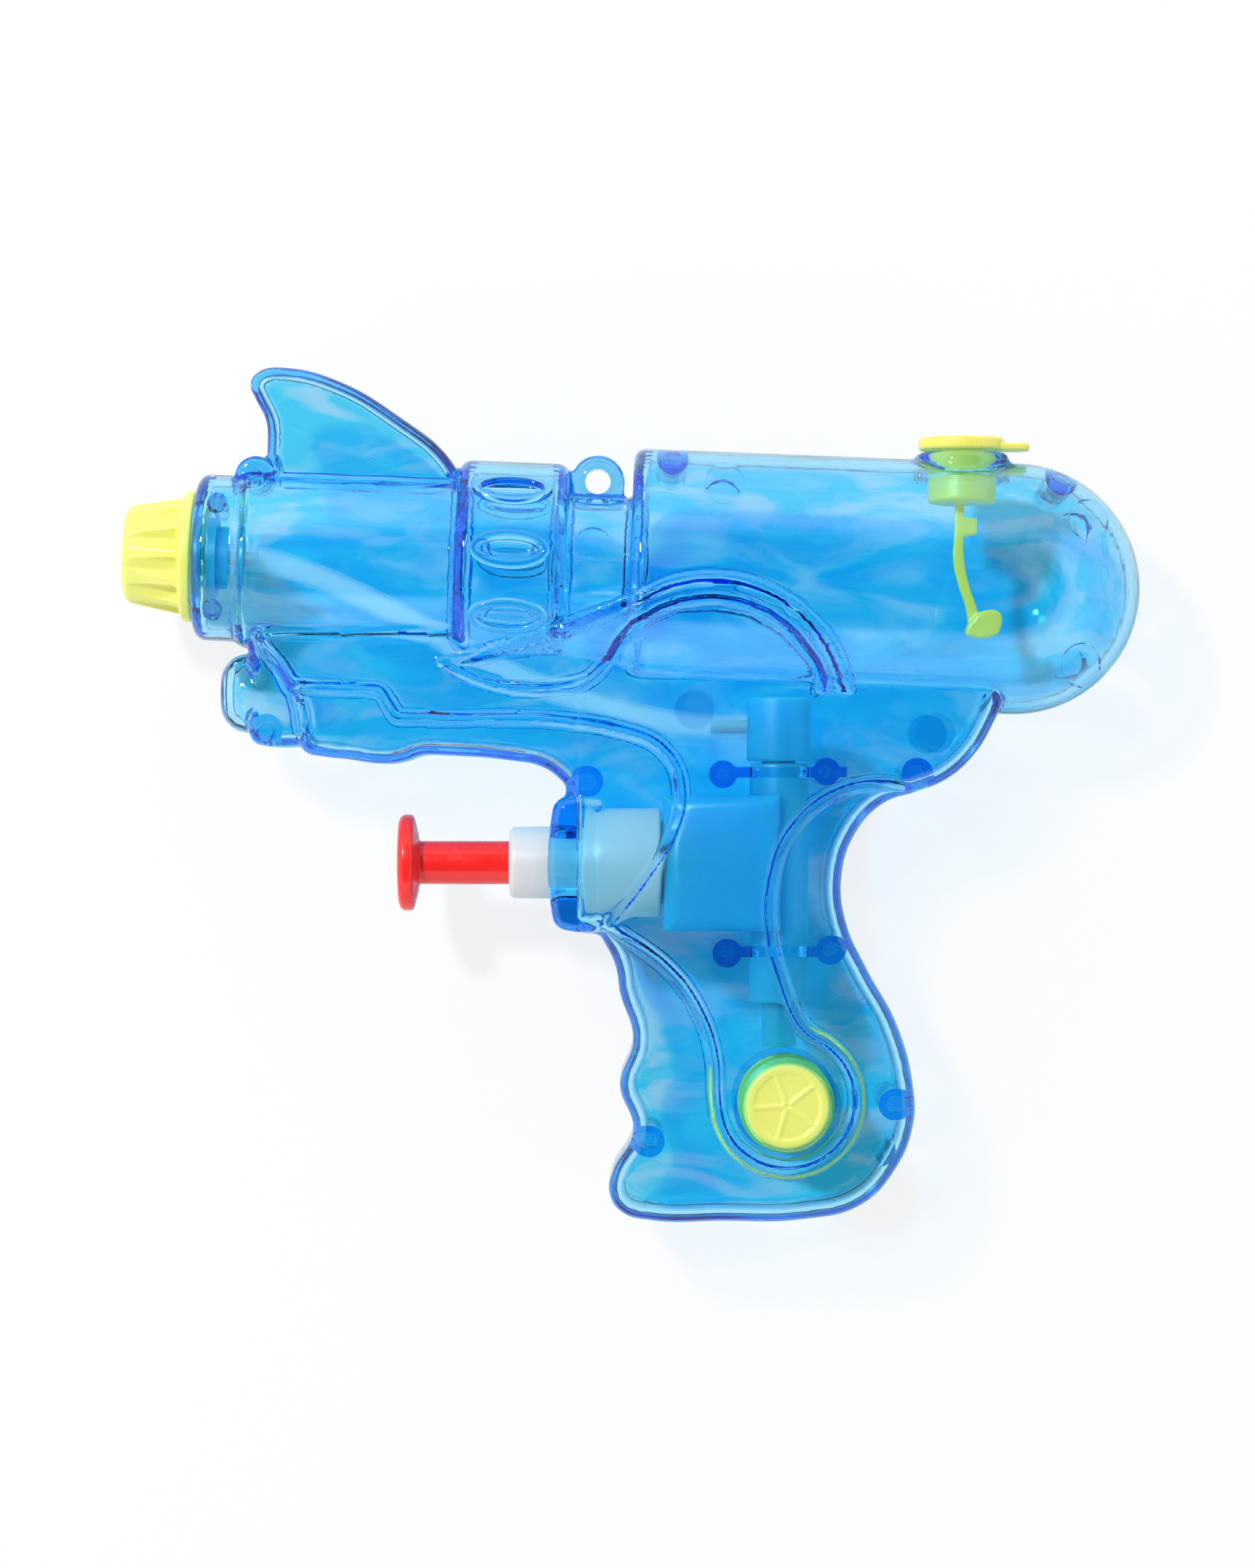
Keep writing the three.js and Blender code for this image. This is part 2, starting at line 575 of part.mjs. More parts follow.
// Fluted nozzle cap, hollow behind its orifice.
function nozzleCap() {
  const bevel = 1.4;
  const flangeFront = CAP_REAR - CAP_FLANGE_LENGTH;
  const body = solid(turned([
    point(0, CAP_FRONT),
    ...arc(CAP_FRONT_RADIUS - bevel, CAP_FRONT + bevel, bevel, -90, 0),
    point(CAP_REAR_RADIUS, flangeFront),
    point(CAP_FLANGE_RADIUS, flangeFront),
    point(CAP_FLANGE_RADIUS, CAP_REAR),
    point(0, CAP_REAR),
  ], 2 * CAP_FLUTES));
  const flutes = [];
  for (let i = 0; i < CAP_FLUTES; i += 1) {
    const flute = rod(CAP_FRONT - LAP, flangeFront - 0.4, FLUTE_RADIUS, 0, 0, PIN_SIDES);
    const slope = (CAP_REAR_RADIUS - CAP_FRONT_RADIUS) / CAP_LENGTH / 4;
    flute.translate(-flangeFront, 0, 0).rotateZ(slope).translate(flangeFront, CAP_REAR_RADIUS + 0.3, 0);
    flutes.push(solid(flute.rotateX((i + 0.5) * 2 * Math.PI / CAP_FLUTES)));
  }
  const seat = SPIGOT_FRONT - GASKET_THICKNESS - 2 * FIT;
  const bore = solid(rod(seat, CAP_REAR + LAP, SPIGOT_RADIUS + FIT));
  const orifice = solid(rod(CAP_FRONT - LAP, seat + LAP, ORIFICE_RADIUS, 0, 0, SMALL_SIDES));
  return cut(body, [...flutes, bore, orifice]);
}

// Fixed core that the cap turns on, with a flange inside the collar and a barb for the hose.
function nozzleCore() {
  const neckRear = CORE_FLANGE_FRONT + WALL / 2;
  const body = join([
    solid(rod(SPIGOT_FRONT, neckRear, SPIGOT_RADIUS, WALL / 4)),
    solid(rod(CAP_REAR + FIT, neckRear, CORE_NECK_RADIUS)),
    solid(rod(CORE_FLANGE_FRONT, CORE_FLANGE_REAR, CORE_FLANGE_RADIUS)),
    solid(rod(neckRear, CORE_FLANGE_REAR + BARB_LENGTH, BARB_RADIUS, 0, 0, SMALL_SIDES)),
  ]);
  const port = rod(SPIGOT_FRONT - LAP, CORE_FLANGE_REAR + BARB_LENGTH + LAP, PORT_RADIUS, 0, 0, SMALL_SIDES);
  return body.subtract(solid(port));
}

// Flat ring about the x axis.
function washer(from, to, radius, bore) {
  const corners = [[bore, from], [radius, from], [radius, to], [bore, to], [bore, from]];
  return turned(corners.map(([out, x]) => point(out, x)));
}

// Hose from the nozzle's barb, down through the barrel and over to the elbow.
function hose() {
  const start = CORE_FLANGE_REAR + FIT;
  const straight = start + BARB_LENGTH;
  const end = TOWER_X - TOWER_RADIUS - FIT;
  const route = new THREE.CatmullRomCurve3([
    [start, axisY(start)],
    [straight, axisY(straight)],
    [-41.5, 41],
    [-33.5, 37],
    [-25.5, 32.6],
    [-17, 28.4],
    [-8, 25],
    [2, 22.3],
    [end - BARB_LENGTH, ELBOW_BARB_HEIGHT],
    [end, ELBOW_BARB_HEIGHT],
  ].map(([x, y]) => new THREE.Vector3(x, y, 0)));
  const section = new THREE.Shape();
  section.absarc(0, 0, HOSE_RADIUS, 0, 2 * Math.PI, false);
  const bore = new THREE.Path();
  bore.absarc(0, 0, HOSE_BORE_RADIUS, 0, 2 * Math.PI, false);
  section.holes.push(bore);
  return new THREE.ExtrudeGeometry(section, { extrudePath: route, steps: 22, curveSegments: HOSE_SIDES / 2 });
}

// Filler plug with its tab, its strap down into the tank and the anchor that stops it at the neck.
function fillerPlug() {
  const seat = FILLER_TOP + FIT;
  const top = seat + PLUG_FLANGE_THICKNESS;
  const tab = new THREE.BoxGeometry(PLUG_FLANGE_RADIUS + PLUG_TAB_LENGTH, PLUG_TAB_THICKNESS, PLUG_TAB_WIDTH);
  tab.translate(FILLER_X + (PLUG_FLANGE_RADIUS + PLUG_TAB_LENGTH) / 2, top - PLUG_TAB_THICKNESS / 2, 0);
  const strapEnd = TETHER_TOP - TETHER_LENGTH;
  const drop = TETHER_LENGTH;
  const route = new THREE.CatmullRomCurve3([
    [FILLER_X - 0.2, TETHER_TOP + WALL],
    [FILLER_X - 0.5, TETHER_TOP - 0.3 * drop],
    [FILLER_X - 0.4, TETHER_TOP - 0.55 * drop],
    [FILLER_X + 0.6, TETHER_TOP - 0.8 * drop],
    [FILLER_X + 1.9, strapEnd - WALL],
  ].map(([x, y]) => new THREE.Vector3(x, y, 0)));
  const section = new THREE.Shape();
  section.moveTo(-TETHER_THICKNESS / 2, -TETHER_WIDTH / 2);
  section.lineTo(TETHER_THICKNESS / 2, -TETHER_WIDTH / 2);
  section.lineTo(TETHER_THICKNESS / 2, TETHER_WIDTH / 2);
  section.lineTo(-TETHER_THICKNESS / 2, TETHER_WIDTH / 2);
  const strap = new THREE.ExtrudeGeometry(section, { extrudePath: route, steps: 2 * CURVE_STEPS });
  const barb = new THREE.BoxGeometry(2 * WALL, 2 * WALL, TETHER_THICKNESS);
  barb.translate(FILLER_X + WALL / 2, TETHER_TOP - 0.22 * drop, 0);
  const anchor = new THREE.BoxGeometry(ANCHOR_LENGTH, ANCHOR_HEIGHT, 2 * TETHER_WIDTH);
  anchor.translate(FILLER_X + PLUG_RADIUS + 2 * FIT - ANCHOR_LENGTH / 2, strapEnd - ANCHOR_HEIGHT / 2, 0);
  return join([
    solid(upright(FILLER_X, 0, seat, top, PLUG_FLANGE_RADIUS, ROUND_SIDES)),
    solid(upright(FILLER_X, 0, TETHER_TOP, top - WALL / 2, PLUG_RADIUS, ROUND_SIDES)),
    solid(tab),
    solid(strap),
    solid(barb),
    solid(anchor),
  ]);
}

// Push trigger: a round pad on a rod, with the piston and its ring groove at the far end.
function trigger() {
  const padFront = PAD_REAR - PAD_THICKNESS;
  const body = join([
    solid(rod(padFront, PAD_REAR, PAD_RADIUS, 0.8, 0.5)),
    solid(rod(PAD_REAR - WALL / 2, PISTON_REAR - WALL / 2, ROD_RADIUS)),
    solid(rod(PISTON_FRONT, PISTON_REAR, CYLINDER_RADIUS - PISTON_CLEARANCE)),
  ]);
  const half = RING_RADIUS + FIT;
  const floor = CYLINDER_RADIUS - FIT - 2 * RING_RADIUS - FIT;
  const groove = washer(PISTON_MIDDLE - half, PISTON_MIDDLE + half, CYLINDER_RADIUS + FIT, floor);
  return body.subtract(solid(groove));
}

// Ring of round section about the x axis.
function sealRing(x, radius, section) {
  const ring = new THREE.TorusGeometry(radius, section, SMALL_SIDES / 2, ROUND_SIDES);
  return ring.rotateY(Math.PI / 2).translate(x, 0, 0);
}

const SEAL_X = (GLAND_FRONT + GLAND_BODY_FRONT) / 2;

// White gland: a tube out through the rim, a wide body behind it and a spigot into the pump body.
function gland() {
  const body = join([
    solid(rod(GLAND_FRONT, GLAND_BODY_FRONT + WALL, GLAND_TUBE_RADIUS, 0.8)),
    solid(rod(GLAND_BODY_FRONT, GLAND_BODY_REAR, GLAND_RADIUS, 0.6, 0.6)),
    solid(rod(GLAND_BODY_REAR - WALL, GLAND_BODY_REAR + GLAND_SPIGOT_LENGTH, GLAND_SPIGOT_RADIUS)),
  ]);
  const half = SEAL_RADIUS + FIT;
  return cut(body, [
    solid(rod(GLAND_FRONT - LAP, PUMP_FRONT, ROD_RADIUS + FIT)),
    solid(rod(CYLINDER_FRONT, CYLINDER_REAR, CYLINDER_RADIUS)),
    solid(rod(SEAL_X - half, SEAL_X + half, ROD_RADIUS + 3 * FIT + 2 * SEAL_RADIUS)),
  ]);
}

// Helix of the return spring along the cylinder.
class Coil extends THREE.Curve {
  getPoint(t) {
    const angle = 2 * Math.PI * SPRING_TURNS * t;
    const run = SPRING_LENGTH - 2 * SPRING_WIRE_RADIUS;
    const x = SPRING_FRONT + SPRING_WIRE_RADIUS + run * t;
    return new THREE.Vector3(x, SPRING_RADIUS * Math.cos(angle), SPRING_RADIUS * Math.sin(angle));
  }
}

function returnSpring() {
  const wire = new THREE.Shape(arc(0, 0, SPRING_WIRE_RADIUS, 0, 288, 4));
  return new THREE.ExtrudeGeometry(wire, { extrudePath: new Coil(), steps: 8 * SPRING_TURNS });
}

// Least gap between neighbouring turns of the spring, measured on points one turn apart.
function springGap() {
  const coil = new Coil();
  const turn = 1 / SPRING_TURNS;
  let least = Infinity;
  for (let t = 0; t + turn <= 1; t += turn / 8) {
    least = Math.min(least, coil.getPoint(t).distanceTo(coil.getPoint(t + turn)) - 2 * SPRING_WIRE_RADIUS);
  }
  return least;
}

console.log(`return spring: least gap between turns ${springGap().toFixed(2)} mm`);

// Where the valve balls sit, each on the rim of the port below it.
const ballSeat = (port) => Math.sqrt(BALL_RADIUS ** 2 - port ** 2);
const INLET_SEAT = TOWER_BOTTOM + INLET_TUBE_DEPTH;
const INLET_BALL_Y = INLET_SEAT + ballSeat(VALVE_PORT_RADIUS) + FIT;
const INLET_CEILING = INLET_BALL_Y + BALL_RADIUS + BALL_LIFT + FIT;
const OUTLET_CEILING = TOWER_TOP - ELBOW_SPIGOT_LENGTH;
const OUTLET_BALL_Y = OUTLET_CEILING - FIT - BALL_LIFT - BALL_RADIUS;
const OUTLET_SEAT = OUTLET_BALL_Y - ballSeat(VALVE_PORT_RADIUS) - FIT;

// Blue pump body: a block around the cylinder and a tower with both valves.
function pumpBody() {
  const half = FRAME_HALF - WALL - FIT;
  const block = new THREE.Shape();
  const [tall, round] = [PUMP_HEIGHT / 2, 2 * WALL];
  block.absarc(half - round, tall - round, round, 0, Math.PI / 2, false);
  block.absarc(round - half, tall - round, round, Math.PI / 2, Math.PI, false);
  block.absarc(round - half, round - tall, round, Math.PI, 1.5 * Math.PI, false);
  block.absarc(half - round, round - tall, round, 1.5 * Math.PI, 2 * Math.PI, false);
  const depth = TOWER_X - PUMP_FRONT;
  const body = new THREE.ExtrudeGeometry(block, { depth, bevelEnabled: false, curveSegments: CURVE_STEPS });
  body.rotateY(Math.PI / 2).translate(PUMP_FRONT, 0, 0);
  const tower = upright(TOWER_X, 0, TOWER_BOTTOM, TOWER_TOP, TOWER_RADIUS, ROUND_SIDES);
  return cut(join([solid(body), solid(tower)]), [
    solid(rod(PUMP_FRONT - LAP, PUMP_FRONT + GLAND_SPIGOT_LENGTH, GLAND_SPIGOT_RADIUS + FIT)),
    solid(rod(PUMP_FRONT, CYLINDER_REAR, CYLINDER_RADIUS)),
    solid(rod(CYLINDER_REAR - WALL, TOWER_X, VALVE_PORT_RADIUS, 0, 0, SMALL_SIDES)),
    solid(upright(TOWER_X, 0, TOWER_BOTTOM - LAP, INLET_CEILING, VALVE_BORE_RADIUS)),
    solid(upright(TOWER_X, 0, OUTLET_SEAT, TOWER_TOP + LAP, VALVE_BORE_RADIUS)),
    solid(upright(TOWER_X, 0, INLET_CEILING - WALL, OUTLET_SEAT + WALL, VALVE_PORT_RADIUS)),
  ]);
}

// Elbow on the tower: a head with a spigot down into the valve bore and a barb for the hose.
function outletElbow() {
  const foot = TOWER_TOP + FIT;
  const barbTip = TOWER_X - TOWER_RADIUS - BARB_LENGTH;
  const body = join([
    solid(upright(TOWER_X, 0, foot, foot + ELBOW_HEIGHT, TOWER_RADIUS, ROUND_SIDES)),
    solid(upright(TOWER_X, 0, OUTLET_CEILING, foot + WALL, VALVE_BORE_RADIUS - FIT)),
    solid(rod(barbTip, TOWER_X, BARB_RADIUS, 0, 0, SMALL_SIDES).translate(0, ELBOW_BARB_HEIGHT, 0)),
  ]);
  return cut(body, [
    solid(upright(TOWER_X, 0, OUTLET_CEILING - LAP, ELBOW_BARB_HEIGHT, VALVE_PORT_RADIUS)),
    solid(rod(barbTip - LAP, TOWER_X, PORT_RADIUS, 0, 0, SMALL_SIDES).translate(0, ELBOW_BARB_HEIGHT, 0)),
  ]);
}

// Tube pushed up into the tower. Its top end is the inlet valve's seat.
function inletTube() {
  const tube = upright(TOWER_X, 0, INLET_SEAT - INLET_TUBE_LENGTH, INLET_SEAT, VALVE_BORE_RADIUS - FIT);
  const bore = upright(TOWER_X, 0, INLET_SEAT - INLET_TUBE_LENGTH - LAP, INLET_SEAT + LAP, VALVE_PORT_RADIUS);
  return solid(tube).subtract(solid(bore));
}

const ball = (y) => new THREE.SphereGeometry(BALL_RADIUS, SMALL_SIDES, SMALL_SIDES).translate(TOWER_X, y, 0);

// Spool held between the halves by its flanges, with spokes in the face that each window shows.
function gripSpool() {
  const flange = FRAME_HALF - WINDOW_DEPTH - FIT;
  const face = FRAME_HALF - SPOOL_RECESS;
  const faceRim = 1.0;
  const sunk = 0.6;
  const cylinders = [
    [-face, face, SPOOL_RADIUS],
    [-flange, flange, SPOOL_FLANGE_RADIUS],
  ].map(([from, to, radius]) => solid(crosswise(0, 0, from, to, radius, ROUND_SIDES)));
  const waist = flange - WALL;
  const groove = washer(-waist, waist, SPOOL_FLANGE_RADIUS + LAP, SPOOL_CORE_RADIUS).rotateY(-Math.PI / 2);
  const dishes = [[face - sunk, face + LAP], [-face - LAP, sunk - face]]
    .map(([from, to]) => solid(crosswise(0, 0, from, to, SPOOL_RADIUS - faceRim, ROUND_SIDES)));
  const spokes = [];
  for (let i = 0; i < SPOKES; i += 1) {
    const spoke = new THREE.BoxGeometry(0.8, SPOOL_RADIUS - faceRim / 2, 2 * face - 0.4);
    spoke.translate(0, (SPOOL_RADIUS - faceRim / 2) / 2, 0).rotateZ(i * 2 * Math.PI / SPOKES);
    spokes.push(solid(spoke));
  }
  const disc = cut(join(cylinders), dishes);
  return cut(join([disc, ...spokes]), [solid(groove)]).translate([SPOOL_X, SPOOL_Y, 0]);
}

// Looks of the plastics and the steel
const look = (color, roughness, more = {}) =>
  new THREE.MeshStandardMaterial({ color, roughness, metalness: 0, ...more });
const clearBlue = look(0x2f9df0, 0.12, { transparent: true, opacity: 0.45 });
const pumpBlue = look(0x0f6fd0, 0.3);
const yellow = look(0xecec62, 0.35);
const red = look(0xf53b36, 0.35);
const milky = look(0xe4e2e2, 0.4);
const hoseMilky = look(0xdfe6ea, 0.3, { transparent: true, opacity: 0.7 });
const rubber = look(0x2a2a2a, 0.7);
const steel = look(0xb8b8b8, 0.3, { metalness: 1 });

// The nozzle's pieces share the barrel's axis.
const nozzle = new THREE.Group();
nozzle.applyMatrix4(AXIS_PLACE);
nozzle.add(
  piece("nozzle_cap", nozzleCap(), yellow),
  piece("nozzle_core", nozzleCore(), pumpBlue),
  piece(
    "nozzle_gasket",
    washer(SPIGOT_FRONT - FIT - GASKET_THICKNESS, SPIGOT_FRONT - FIT, SPIGOT_RADIUS, ORIFICE_RADIUS),
    rubber,
  ),
);

const squirter = new THREE.Group();
squirter.add(
  piece("shell_left", shellHalf(1), clearBlue),
  piece("shell_right", shellHalf(-1), clearBlue),
  nozzle,
  piece("delivery_hose", hose(), hoseMilky),
  piece("filler_plug", fillerPlug(), yellow),
  piece("trigger", trigger(), red),
  piece("piston_ring", sealRing(PISTON_MIDDLE, CYLINDER_RADIUS - FIT - RING_RADIUS, RING_RADIUS), rubber),
  piece("pump_gland", gland(), milky),
  piece("rod_seal", sealRing(SEAL_X, ROD_RADIUS + FIT + SEAL_RADIUS, SEAL_RADIUS), rubber),
  piece("return_spring", returnSpring(), steel),
  piece("pump_body", pumpBody(), pumpBlue),
  piece("outlet_elbow", outletElbow(), pumpBlue),
  piece("outlet_ball", ball(OUTLET_BALL_Y), steel),
  piece("inlet_ball", ball(INLET_BALL_Y), steel),
  piece("inlet_tube", inletTube(), pumpBlue),
  piece("grip_spool", gripSpool(), yellow),
);

// Sets the toy down with its origin at the bottom centre of its box.
const box = new THREE.Box3().setFromObject(squirter, true);
const centre = box.getCenter(new THREE.Vector3());
squirter.position.set(-centre.x, -centre.y, -box.min.z);

export default squirter;
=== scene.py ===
import math

import bpy
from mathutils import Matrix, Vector


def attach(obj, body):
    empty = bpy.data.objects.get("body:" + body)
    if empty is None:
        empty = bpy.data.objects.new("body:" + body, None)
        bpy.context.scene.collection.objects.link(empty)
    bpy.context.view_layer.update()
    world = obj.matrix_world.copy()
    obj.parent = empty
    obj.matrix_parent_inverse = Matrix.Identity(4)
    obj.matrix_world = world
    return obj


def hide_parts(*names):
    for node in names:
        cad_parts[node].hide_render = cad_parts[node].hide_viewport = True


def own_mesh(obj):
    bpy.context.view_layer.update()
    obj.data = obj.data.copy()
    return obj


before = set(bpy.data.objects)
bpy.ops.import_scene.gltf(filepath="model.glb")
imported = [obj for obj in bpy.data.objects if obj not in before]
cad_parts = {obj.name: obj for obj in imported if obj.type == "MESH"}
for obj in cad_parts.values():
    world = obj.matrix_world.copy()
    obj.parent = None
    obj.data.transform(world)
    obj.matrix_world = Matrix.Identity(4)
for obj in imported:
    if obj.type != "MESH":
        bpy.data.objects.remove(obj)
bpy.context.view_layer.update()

# Toy water squirter, modelled in millimetres: x = 0 is the tank's front face, y = 0 the pump's axis
# and z = 0 the parting plane. Each finished piece is then scaled to metres and moved into the frame.
MM = 0.001
SHIFT = Vector((-0.27375, -10.75, 19.97362))
SMOOTH_ANGLE = math.radians(35)

# How far cutters reach: from ahead of the nozzle, from above the filler, right across and all round
AHEAD = -80.0
ABOVE = 70.0
ACROSS = 40.0
AROUND = 120.0

# Sides of round pieces, by how large they show
LARGE_SIDES = 128
CAP_SIDES = 144
SPOOL_SIDES = 96
HOLE_SIDES = 32

# Shell
WALL = 1.6
SEAM = 0.2
FIT = 0.3
LAP = 4.0
STEP_ROUND = 1.8
LEAST_ROUND = 0.4
PANEL_RISE = 1.1
SWOOSH_RISE = 1.2

# Barrel and tank, on one axis that points a little upwards
PITCH = math.radians(2.25)
AXIS_HEIGHT = 44.2
TANK_RADIUS = 19.2
TANK_LENGTH = 78.0
NECK_RADIUS = 11.6
SLEEVE_RADIUS = 16.4
SLEEVE_FRONT = -26.5
SLEEVE_REAR = -9.7
BARREL_RADIUS = 13.6
BARREL_FRONT = -60.1
COLLAR_RADIUS = 12.7
COLLAR_FRONT = -66.3

# Raised ovals on the sleeve, with a lens sunk in each
OVAL_TILTS = (-28, 8, 44)
OVAL_HALF_LENGTH = 5.3
OVAL_HALF_WIDTH = 2.25
OVAL_BEAD_RADIUS = 0.75
OVAL_LIFT = 0.05
LENS = (4.2, 1.5, 0.9)
LENS_LIFT = 0.3

# Plates of the frame
FRAME_HALF = 10.2
FRAME_ROUND = 3.2
FRAME_TOP = 34.6
RAIL_HALF = 7.5
RAIL_ROUND = 2.6
NOSE_HALF = 6.2
NOSE_ROUND = 2.2
FIN_HALF = 4.5
FIN_ROUND = 2.4
RIM_FRONT = -11.9
RIM_REAR = -7.7
RIM_PROUD = 0.5
RIM_ROUND = 1.8

# Round bulb under the barrel, lug at the foot of the fin and loop for a cord
BULB_FRONT = -62.5
BULB_REAR = -50.0
BULB_HEIGHT = 25.9
BULB_RADIUS = 6.1
BULB_ROUND = 4.2
LUG = (-56.9, 58.8)
LUG_HALF = 5.4
LUG_RADIUS = 3.2
LUG_ROUND = 1.2
LOOP = (-4.85, 58.2)
LOOP_HALF = 2.0
LOOP_RADIUS = 4.1
LOOP_ROUND = 0.9
LOOP_FOOT_HALF = 1.9
LOOP_FOOT_REACH = 4.0
LOOP_FOOT_DROPS = (5.5, 0.4)
LOOP_BEAD_HALF = 2.4
LOOP_BEAD_RADIUS = 2.8
LOOP_HOLE_RADIUS = 1.95
LOOP_HOLE_HALF = 10.0

# Fittings inside the shell
SOCKET_WALL = 1.1
PIN_SETBACK = 1.4
PIN_HEIGHT = 3.0
PIN_ROOT = -1.0
POST_RADIUS = 1.5
POST_BORE_RADIUS = 1.05
POST_BORE_HALF = 8.5
RIB_HALF = 0.8
MARK_RADIUS = 3.0
MARK_RISE = 0.6

# Filler and its plug
FILLER_X = 50.8
FILLER_FOOT = 55.0
FILLER_FLOOR = 58.6
FILLER_TOP = 62.7
FILLER_RADIUS = 7.3
FILLER_ROUND = 1.2
FILLER_BORE_FOOT = 50.0
PLUG_FOOT = 55.0
PLUG_TOP = 65.0
PLUG_RADIUS = 5.2
PLUG_FLANGE_RADIUS = 6.6
PLUG_FLANGE_DEPTH = 2.0
PLUG_ROUND = 0.5
PLUG_BODY_DROP = 0.6
TAB_DROP = 1.45
TAB_HALF = 0.55
STRAP_HALF = 0.95
CATCH_HALF = 1.0
ANCHOR_HALF = 1.9

# Nozzle, along the barrel's axis. Its cylinders are given as front, rear and radius.
BARB_RADIUS = 1.1
WATERWAY_RADIUS = 0.6
CAP_FRONT = -77.2
CAP_NOSE_RADIUS = 7.6
CAP_NOSE_ROUND = 1.7
CAP_FLANGE = (-68.2, -66.6, 10.0)
CAP_BORE = (-73.0, -60.0, 5.5)
ORIFICE = (AHEAD, -70.0, 0.7)
FLUTES = 12
FLUTE = (AHEAD, -68.5, 1.7)
FLUTE_ROUND = 0.6
FLUTE_OFFSET = 9.0
CORE = (-71.6, -63.6, 5.2)
CORE_FLANGE = (-66.3, -63.0, 6.2)
CORE_SHANK = (-64.6, -60.8, 4.8)
CORE_BARB = (-64.0, -56.8, BARB_RADIUS)
CORE_BORE = (AHEAD, -50.0, WATERWAY_RADIUS)
NOZZLE_HOLE = (-72.0, -62.0, 6.5)
HOSE_RADIUS = 2.0
HOSE_BORE_RADIUS = 1.4

# Trigger and gland, along the pump's axis. Grooves are given as front, rear, inner and outer radius, and
# O-rings as place, radius and thickness.
CYLINDER_RADIUS = 4.6
TRIGGER_ROD = (-34.0, -5.0, 3.3)
PISTON = (-5.4, -0.8, 4.2)
PISTON_GROOVE = (-4.05, -2.15, 2.7, 6.0)
PISTON_RING = (-3.1, 3.65, 0.65)
GLAND_FRONT = -18.4
GLAND_MOUTH_RADIUS = 5.45
GLAND_MOUTH_ROUND = 1.0
GLAND_ROOT = (-7.0, 5.6)
GLAND_TUBE_RADIUS = 5.5
GLAND_RADIUS = 8.3
GLAND_BODY = (-7.4, 4.8, GLAND_RADIUS)
GLAND_SPIGOT = (4.0, 7.8, 6.2)
GLAND_BORE = (-5.8, 20.0, CYLINDER_RADIUS)
GLAND_TUBE_HOLE = (-20.0, -4.0, GLAND_TUBE_RADIUS + FIT)
ROD_BORE = (-30.0, 0.0, 3.6)
ROD_GROOVE = (-13.65, -12.15, 3.0, 5.1)
ROD_RING = (-12.9, 4.05, 0.45)
SPRING_FRONT = -0.15
SPRING_LENGTH = 17.5
SPRING_RADIUS = 3.4
SPRING_TURNS = 8
WIRE_RADIUS = 0.35

# Pump and its valves
PUMP_FRONT = 5.1
PUMP_TOP = 10.3
PUMP_HALF = 8.3
PUMP_ROUND = 2.4
GLAND_SEAT = (0.0, 8.1, 6.5)
GLAND_HOLE = (RIM_REAR, PUMP_FRONT, GLAND_RADIUS + FIT)
CYLINDER = (0.0, 18.0, CYLINDER_RADIUS)
TOWER_X = 22.8
TOWER_ROOM = (-26.0, 20.0)
TOWER_PORT = (-20.0, 20.0)
TOWER_FOOT = -21.3
TOWER_TOP = 15.2
TOWER_RADIUS = 4.5
TOWER_ROUND = 0.5
VALVE_RADIUS = 2.9
LOWER_VALVE_TOP = -9.96
UPPER_VALVE_FOOT = 6.06
PORT_RADIUS = 1.5
CYLINDER_PORT = (16.0, TOWER_X, PORT_RADIUS)
BALL_RADIUS = 2.3
LOWER_BALL_HEIGHT = -14.056
UPPER_BALL_HEIGHT = 8.1
ELBOW_FOOT = 15.5
ELBOW_TOP = 25.3
ELBOW_RADIUS = 4.9
ELBOW_SPIGOT = (12.2, 17.0)
ELBOW_BARB_FRONT = 12.3
ELBOW_BARB_HEIGHT = 20.8
INLET_FOOT = -28.1
INLET_TOP = -16.1

# Spool in the grip
SPOOL = (23.8, -36.7)
SPOOL_HALF = 9.7
SPOOL_RADIUS = 6.4
SPOOL_ROUND = 0.5
SPOOL_FLANGE_HALF = 5.7
SPOOL_FLANGE_RADIUS = 7.3
SPOOL_FLANGE_ROUND = 0.4
SPOOL_WAIST = (-4.1, 4.1, 4.5, 12.0)
SPOOL_SLEEVE_FRONT = 6.0
SPOOL_SLEEVE_WALL = 1.4
DISH_DEPTH = 0.35
DISH_RADIUS = 5.1
DISH_ROUND = 0.1
SPOKES = 5
SPOKE_TURN = 38
SPOKE_REACH = (0.4, 5.6)
SPOKE_WIDE = 0.22
SPOKE_HALF = 9.6


# Points of an arc, in degrees, about a centre.
def arc(x, y, radius, start, end, steps):
    turns = [math.radians(start + (end - start) * i / steps) for i in range(steps + 1)]
    return [(x + radius * math.cos(turn), y + radius * math.sin(turn)) for turn in turns]


def axis_height(x):
    return AXIS_HEIGHT - x * math.tan(PITCH)


# Marks an outline's point as a sharp corner.
CORNER = True

